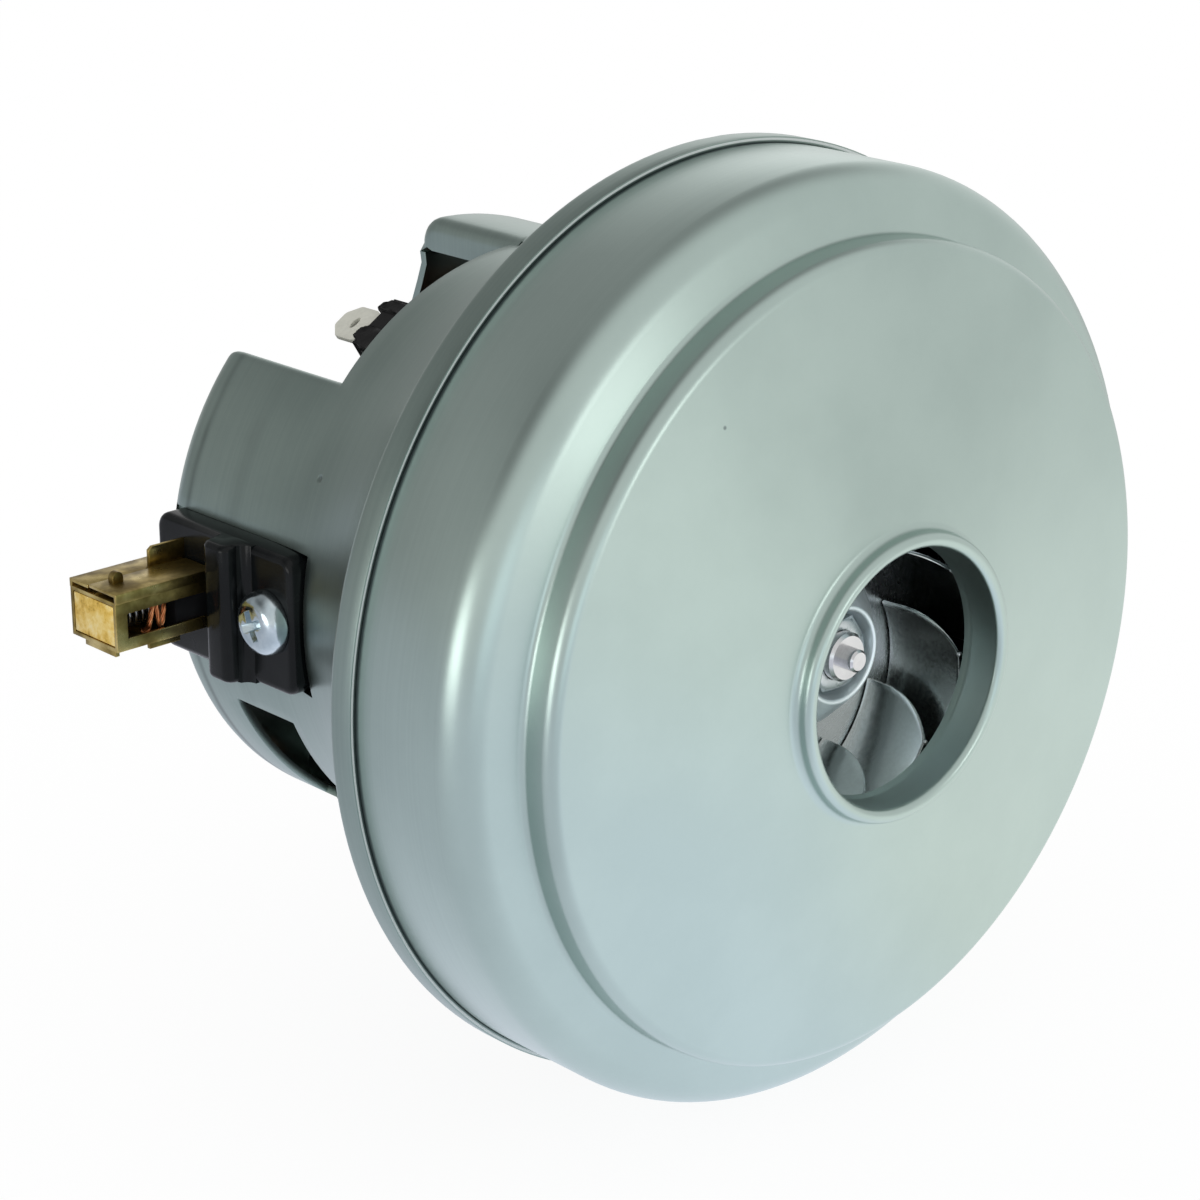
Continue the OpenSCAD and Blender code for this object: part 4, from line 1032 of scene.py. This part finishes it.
# Field coils: enamelled copper wire wound on a former, pressed to the curve of the stator and varnished.
# A solid core stands for the wires inside, and the turns that can be seen lie round it.
COIL_R = (22.5, 30.1)
COIL_HALF = (43.0, 71.2)
COIL_Y = (14.9, 21.1)
COIL_MIDDLE = 32.0
COIL_WIRE = 0.46
ACROSS = 9
LAYERS = 8
CORE_R = (22.7, 29.9)
CORE_Y = (11.4, 52.6)
CORE_A = (19.5, 160.5)
HOLLOW_Y = (16.6, 47.4)
HOLLOW_A = (46.0, 134.0)
TOOL_L = 70


def coil_loop(share):
    """One turn of the coil at its outer radius, share of the way from the window to the outside."""
    half = COIL_HALF[0] + (COIL_HALF[1] - COIL_HALF[0]) * share
    reach = COIL_Y[0] + (COIL_Y[1] - COIL_Y[0]) * share
    corner = 2.0 + 5.0 * share
    corner_a = degrees(corner / COIL_R[1])
    path = []
    for side_a, side_y, start in ((1, 1, 0), (-1, 1, 90), (-1, -1, 180), (1, -1, 270)):
        for i in range(6):
            t = radians(start + 18 * i)
            path.append((90 + side_a * (half - corner_a) + corner_a * cos(t),
                         COIL_MIDDLE + side_y * (reach - corner) + corner * sin(t)))
        if start in (0, 180):
            first = 90 + side_a * (half - corner_a)
            path += [(first - side_a * 2 * (half - corner_a) * i / 14, path[-1][1]) for i in range(1, 14)]
    return [(COIL_R[1] * cos(radians(a)), y, COIL_R[1] * sin(radians(a))) for a, y in path]


def wedge(name, angles, y, length):
    """A tool that covers the angles from the first to the second round the axis."""
    low, high = angles
    rays = [(60 * cos(radians(a)), y, 60 * sin(radians(a))) for a in (low, (low + high) / 2, high)]
    return slab(name, [(0, y, 0)] + rays, (0, length, 0))


field_coil = pin("field_coil_upper_wound", (0, CORE_Y[0], 0), CORE_Y[1] - CORE_Y[0], CORE_R[1], "Y", 96)
carve(field_coil, pin("bore_tool", (0, 0, 0), TOOL_L, CORE_R[0], "Y", 96))
carve(field_coil, wedge("side_tool", CORE_A, 0, TOOL_L), "INTERSECT")
carve(field_coil, wedge("window_tool", HOLLOW_A, HOLLOW_Y[0], HOLLOW_Y[1] - HOLLOW_Y[0]))
turns = []
for k in range(ACROSS):
    path = coil_loop(k / (ACROSS - 1))
    loop = wire("turn", path + path[:1], COIL_WIRE)
    turns.append(loop)
    steps = range(1, LAYERS) if k in (0, ACROSS - 1) else (LAYERS - 1,)
    for step in steps:
        shrink = 1 - (COIL_R[1] - COIL_R[0]) / COIL_R[1] * step / (LAYERS - 1)
        turns.append(copied(loop))
        bpy.ops.transform.resize(value=(shrink, 1, shrink), center_override=(0, 0, 0))
        bpy.ops.object.mode_set(mode="OBJECT")
join(field_coil, *turns)
soften(field_coil, 0)
enamel, place = surface("enamelled_wire")
cloud = noise(place, 2.5, 3.0)
shade(place, cloud.ramp(0.3, 0.7).mix((0.2, 0.055, 0.018, 1), (0.46, 0.17, 0.06, 1)),
      cloud.ramp(0.3, 0.7, 0.26, 0.42), 0.85, noise(place, 0.25, 2.0), 0.006, Coat_Weight=0.4)
fit_pair(field_coil, "enamelled_copper", enamel, "field_coil_upper")

# Terminals: tinned brass tabs that stand out of the rear coil frame through the windows, each between two
# rough black guards that are moulded beside its root.
TAB_A = 121.7
TAB_R = 42.3
TAB_Y = (43.6, 56.3)
TAB_T = 0.8
TAB_HOLE_Y = TAB_Y[1] - 3.4
TAB_HOLE_R = 0.5
TAB_HOLE_LONG = 2.2
GUARDS = ([(1.0, 42.6), (1.0, 47.4), (1.7, 48.5), (3.4, 48.8), (5.3, 45.4), (5.3, 42.6)],
          [(-4.4, 42.6), (-4.4, 47.6), (-3.6, 48.8), (-2.4, 49.2), (-2.0, 48.0), (-2.0, 42.6)])
GUARD_R = TAB_R - 1.1
GUARD_T = 3.4
GUARD_ROUGH = 0.14


def turned(piece, angle):
    """Turns a finished piece round the motor axis, from +X towards +Z."""
    take(piece)
    open_up()
    swing(angle)


half = [(2.3, TAB_Y[0]), (2.3, TAB_Y[1] - 7.4), (3.15, TAB_Y[1] - 5.4)]
half += bend((1.95, TAB_Y[1] - 2.4), 1.2, (0, 15, 30)) + bend((0.9, TAB_Y[1] - 0.9), 0.9, (35, 60, 90))
tab_outline = [(TAB_R - TAB_T / 2, y, w) for w, y in half]
tab_outline += [(TAB_R - TAB_T / 2, y, -w) for w, y in half[::-1]]
tab = slab("terminal_tab_upper_blade", tab_outline, (TAB_T, 0, 0))
hole = pin("hole_tool", (TAB_R - 3, TAB_HOLE_Y, 0), 6, TAB_HOLE_R, "X", 24)
open_up()
bpy.ops.transform.resize(value=(1, 1, TAB_HOLE_LONG), center_override=(TAB_R * MM, TAB_HOLE_Y * MM, 0))
bpy.ops.object.mode_set(mode="OBJECT")
carve(tab, hole)
soften(tab, 0.12)
turned(tab, TAB_A)
tinned = metal("tinned_blade", (0.7, 0.7, 0.62), (0.6, 0.6, 0.53), 0.5, metallic=0.25)
fit_pair(tab, "tinned_tab", tinned, "terminal_tab_upper")
guard, other_guard = [slab("terminal_guards", [(GUARD_R, y, w) for w, y in side], (GUARD_T, 0, 0))
                      for side in GUARDS]
join(guard, other_guard)
soften(guard, 0.3)
open_up()
bpy.ops.mesh.quads_convert_to_tris()
bpy.ops.mesh.subdivide(number_cuts=3)
bpy.ops.transform.vertex_random(offset=GUARD_ROUGH * MM, seed=4)
bpy.ops.object.mode_set(mode="OBJECT")
turned(guard, TAB_A)
join(guard, opposite(guard, "guards_below"))
fit(guard, "housing", "black_plastic", frame_black)

# Front bracket, bearing retainer and diffuser: a pressed steel plate behind the fan carries the front bearing
# under a screwed ring, and a moulded black disc with guide vanes turns the air back to the motor.
bracket_plating = zinc("zinc_bracket", (0.42, 0.5, 0.48), (0.36, 0.44, 0.42), 0.4, -1.0)
bracket_zinc, place, y, radius, colour, roughness, height = bracket_plating
shade(place, colour, roughness, 1.0, height, 0.012)
coat(bracket_zinc, "front_bracket", "bearing_retainer")
coat(plated, "retainer_screws", "diffuser_screws")
coat(moulded("diffuser_moulding", (0.016, 0.017, 0.018), (0.007, 0.007, 0.008), 0.3, 0.5, 0.02), "diffuser")

# Ball bearings: ground and polished rings and balls, pressed shields and moulded cages. The rear one sits in
# a rubber cushion in the frame's boss.
ground = metal("ground_steel", (0.68, 0.68, 0.68), (0.54, 0.54, 0.55), 0.2, 1800.0, 1800.0)
coat(ground, "front_bearing_outer", "front_bearing_inner", "rear_bearing_outer", "rear_bearing_inner", "shaft")
coat(metal("mirror_steel", (0.76, 0.76, 0.76), (0.68, 0.68, 0.69), 0.12),
     "front_bearing_balls", "rear_bearing_balls")
coat(metal("shield_steel", (0.6, 0.61, 0.6), (0.46, 0.47, 0.46), 0.32, 1400.0, 0.0),
     "front_bearing_shields", "rear_bearing_shields")
coat(moulded("cage_moulding", (0.5, 0.42, 0.28), (0.4, 0.32, 0.2), 0.4, 0.55),
     "front_bearing_cage", "rear_bearing_cage")
coat(moulded("cushion_moulding", (0.022, 0.022, 0.022), (0.01, 0.01, 0.01), 0.62, 0.8, 0.03),
     "rear_bearing_cushion")

# Armature: stacked steel on the ground shaft, and a commutator of copper bars on a resin hub, blackened by
# the brushes.
coat(stacked, "armature_core")
coat(moulded("hub_moulding", (0.12, 0.05, 0.02), (0.06, 0.025, 0.012), 0.35, 0.5, 0.02), "commutator_hub")
coat(metal("worn_copper", (0.62, 0.29, 0.14), (0.24, 0.1, 0.05), 0.3, 0.0, 1500.0), "commutator_bars")

# Armature windings: hanks of enamelled wire that cross from slot to slot at both ends of the core, packed
# over each other round the shaft.
SLOTS = 11
SPAN = 5
HANK_WIRE = 0.42
HANK_DIP = 4.6
HANK_STEPS = 20
HANK_LAYERS = ((0.0, 0.0), (0.55, 0.75), (1.1, 1.5), (0.2, 1.6))
WINDING_BORE = 6.6
WINDING_FULL = 0.62


def hank(foot, height, r):
    """The strand of a hank from one slot to another, rising from the end of the core at foot."""
    path = []
    for i in range(HANK_STEPS + 1):
        t = i / HANK_STEPS
        turn = radians(360 / SLOTS * SPAN * t)
        rise = min(1.0, 3.2 * t, 3.2 * (1 - t)) ** 0.7
        dipped = r - HANK_DIP * sin(pi * t)
        path.append((dipped * cos(turn), foot + height * rise * (0.8 + 0.2 * sin(pi * t)), dipped * sin(turn)))
    return path


def copies_round(piece, count):
    """Copies that make up a full circle of that count with the piece."""
    made = []
    for k in range(1, count):
        made.append(copied(piece))
        swing(360 * k / count)
    return made


for end, foot, way, tall, widest in (("front", 17.9, -1, 4.0, 16.6), ("rear", 46.1, 1, 5.4, 15.9)):
    top = foot + way * tall * WINDING_FULL
    core = [(WINDING_BORE, foot, 0), (widest - 3.4, foot, 0), (widest - 1.4, foot + way * 1.2, 0),
            (widest - 2.2, top, 0), (WINDING_BORE, top, 0)]
    winding = lathe(f"armature_winding_{end}_wound", core, 66)
    strands = []
    for drop, inset in HANK_LAYERS:
        path = hank(foot, way * (tall - 0.55 - drop), widest - 0.5 - inset)
        strands.append(wire("strand", path, HANK_WIRE, 6))
    bundle = strands[0]
    join(bundle, *strands[1:])
    join(winding, bundle, *copies_round(bundle, SLOTS))
    soften(winding, 0)
    fit(winding, "rotor", "enamelled_copper", enamel, f"armature_winding_{end}")

# Fan: two spun light-metal discs with vanes between them, clamped on the shaft by a nut and a washer. The
# discs keep the rings of the spinning tool.
spun = metal("spun_alloy", (0.6, 0.62, 0.62), (0.48, 0.5, 0.5), 0.26, 1500.0, 0.0)
coat(spun, "fan_back_disc", "fan_front_disc")
coat(metal("rolled_alloy", (0.42, 0.43, 0.43), (0.34, 0.35, 0.36), 0.24), "fan_vanes")
coat(plated, "fan_washer", "fan_spacer")
NUT_R = 5.7
NUT_Y = (-22.7, -19.2)
NUT_BORE = 3.55
NUT_TURN = 60
CROWN = ((0, NUT_Y[0], 0), (4.7, NUT_Y[0], 0), (6.5, NUT_Y[0] + 1.05, 0), (6.5, NUT_Y[1], 0), (0, NUT_Y[1], 0))
nut = pin("fan_nut_plated", (0, NUT_Y[0], 0), NUT_Y[1] - NUT_Y[0], NUT_R, "Y", 6)
turned(nut, NUT_TURN - around(nut.data.vertices[0].co))
crown = draw("crown", CROWN)
spin(360, 48)
close_up()
carve(nut, crown, "INTERSECT")
carve(nut, pin("thread_tool", (0, -30, 0), 20, NUT_BORE, "Y"))
soften(nut, 0.08)
fit(nut, "rotor", "nut_steel", plated, "fan_nut")

# Inducer hub: a cone pressed from light metal round the nut, open in front where the end of the shaft
# stands out. The nut clamps it to the fan.
HUB = [(4.1, 15.7), (11.2, 15.7), (11.8, 16.3), (11.8, 17.5)] + arc((10.9, 17.5), 0.9, 0, 42, 5)
HUB += arc((6.75, 22.75), 0.45, 44, 180, 8) + [(6.1, 22.0), (6.1, 18.3), (4.1, 18.3)]
hub = lathe("inducer_hub_cone", [(r, -s, 0) for r, s in HUB], 96)
soften(hub, 0.1)
satin = metal("satin_alloy", (0.86, 0.95, 0.97), (0.78, 0.88, 0.9), 0.4, 1300.0, 1300.0, 0.7)
fit(hub, "rotor", "fan_alloy", satin, "inducer_hub")

# Inducer blades: thin polished sheets that go on from the fan's vanes into its eye, where each front edge
# leans forward to a riveted tip. Their cut edges are left bare and lighter than the faces, which is partly a
# painted highlight along them.
BLADES = 9
BLADE_T = 0.5
EDGE_TURN = (7.0, -17.2)
EDGE_OUT = (16.5, 2.8)
EDGE_S = (15.75, 12.25)
VANE_START = (22.8, -47.0, 13.1)
TIP_HALF = Vector((0.45, 0.45, 0.45))
EDGE_FACE = 0.06


def blade_point(u, v):
    """A point of the blade: u runs from its front edge back to the vane, v from the back disc forwards."""
    edge_turn = EDGE_TURN[0] + EDGE_TURN[1] * max(0.0, (v - 0.25) / 0.75) ** 2.2
    edge_r = EDGE_OUT[0] + EDGE_OUT[1] * v * v
    edge_s = EDGE_S[0] + EDGE_S[1] * v
    r = edge_r + (VANE_START[0] - edge_r) * u
    s = edge_s + (EDGE_S[0] + VANE_START[2] * v - edge_s) * u
    turn = radians(edge_turn + (VANE_START[1] - edge_turn) * u)
    return Vector((r * cos(turn), -s, r * sin(turn)))


bpy.ops.object.select_all(action="DESELECT")
bpy.ops.mesh.primitive_grid_add(x_subdivisions=20, y_subdivisions=18, size=1)
blades = bpy.context.object
blades.name = "inducer_blades_sheet"
for vertex in blades.data.vertices:
    vertex.co = blade_point(vertex.co.x + 0.5, vertex.co.y + 0.5) * MM
finish(blades, "SOLIDIFY", thickness=BLADE_T * MM, offset=0.0)
tip = blade_point(0.0, 1.0)
nub = block("nub", tip - TIP_HALF, tip + TIP_HALF)
finish(nub, "SUBSURF", levels=2)
join(blades, nub)
join(blades, *copies_round(blades, BLADES))
bpy.ops.object.mode_set(mode="EDIT")
close_up()
soften(blades, 0.1)
polished = metal("polished_sheet", (0.68, 0.72, 0.71), (0.56, 0.6, 0.59), 0.18)
fit(blades, "rotor", "fan_alloy", polished, "inducer_blades")
# The edge faces are lighter than the blade's faces, partly as a painted highlight.
blades.data.materials.append(metal("bare_edge_and_highlight", (0.8, 0.82, 0.82), (0.66, 0.68, 0.68), 0.3))
for face in blades.data.polygons:
    face.material_index = 1 if face.area < EDGE_FACE * MM * MM else 0
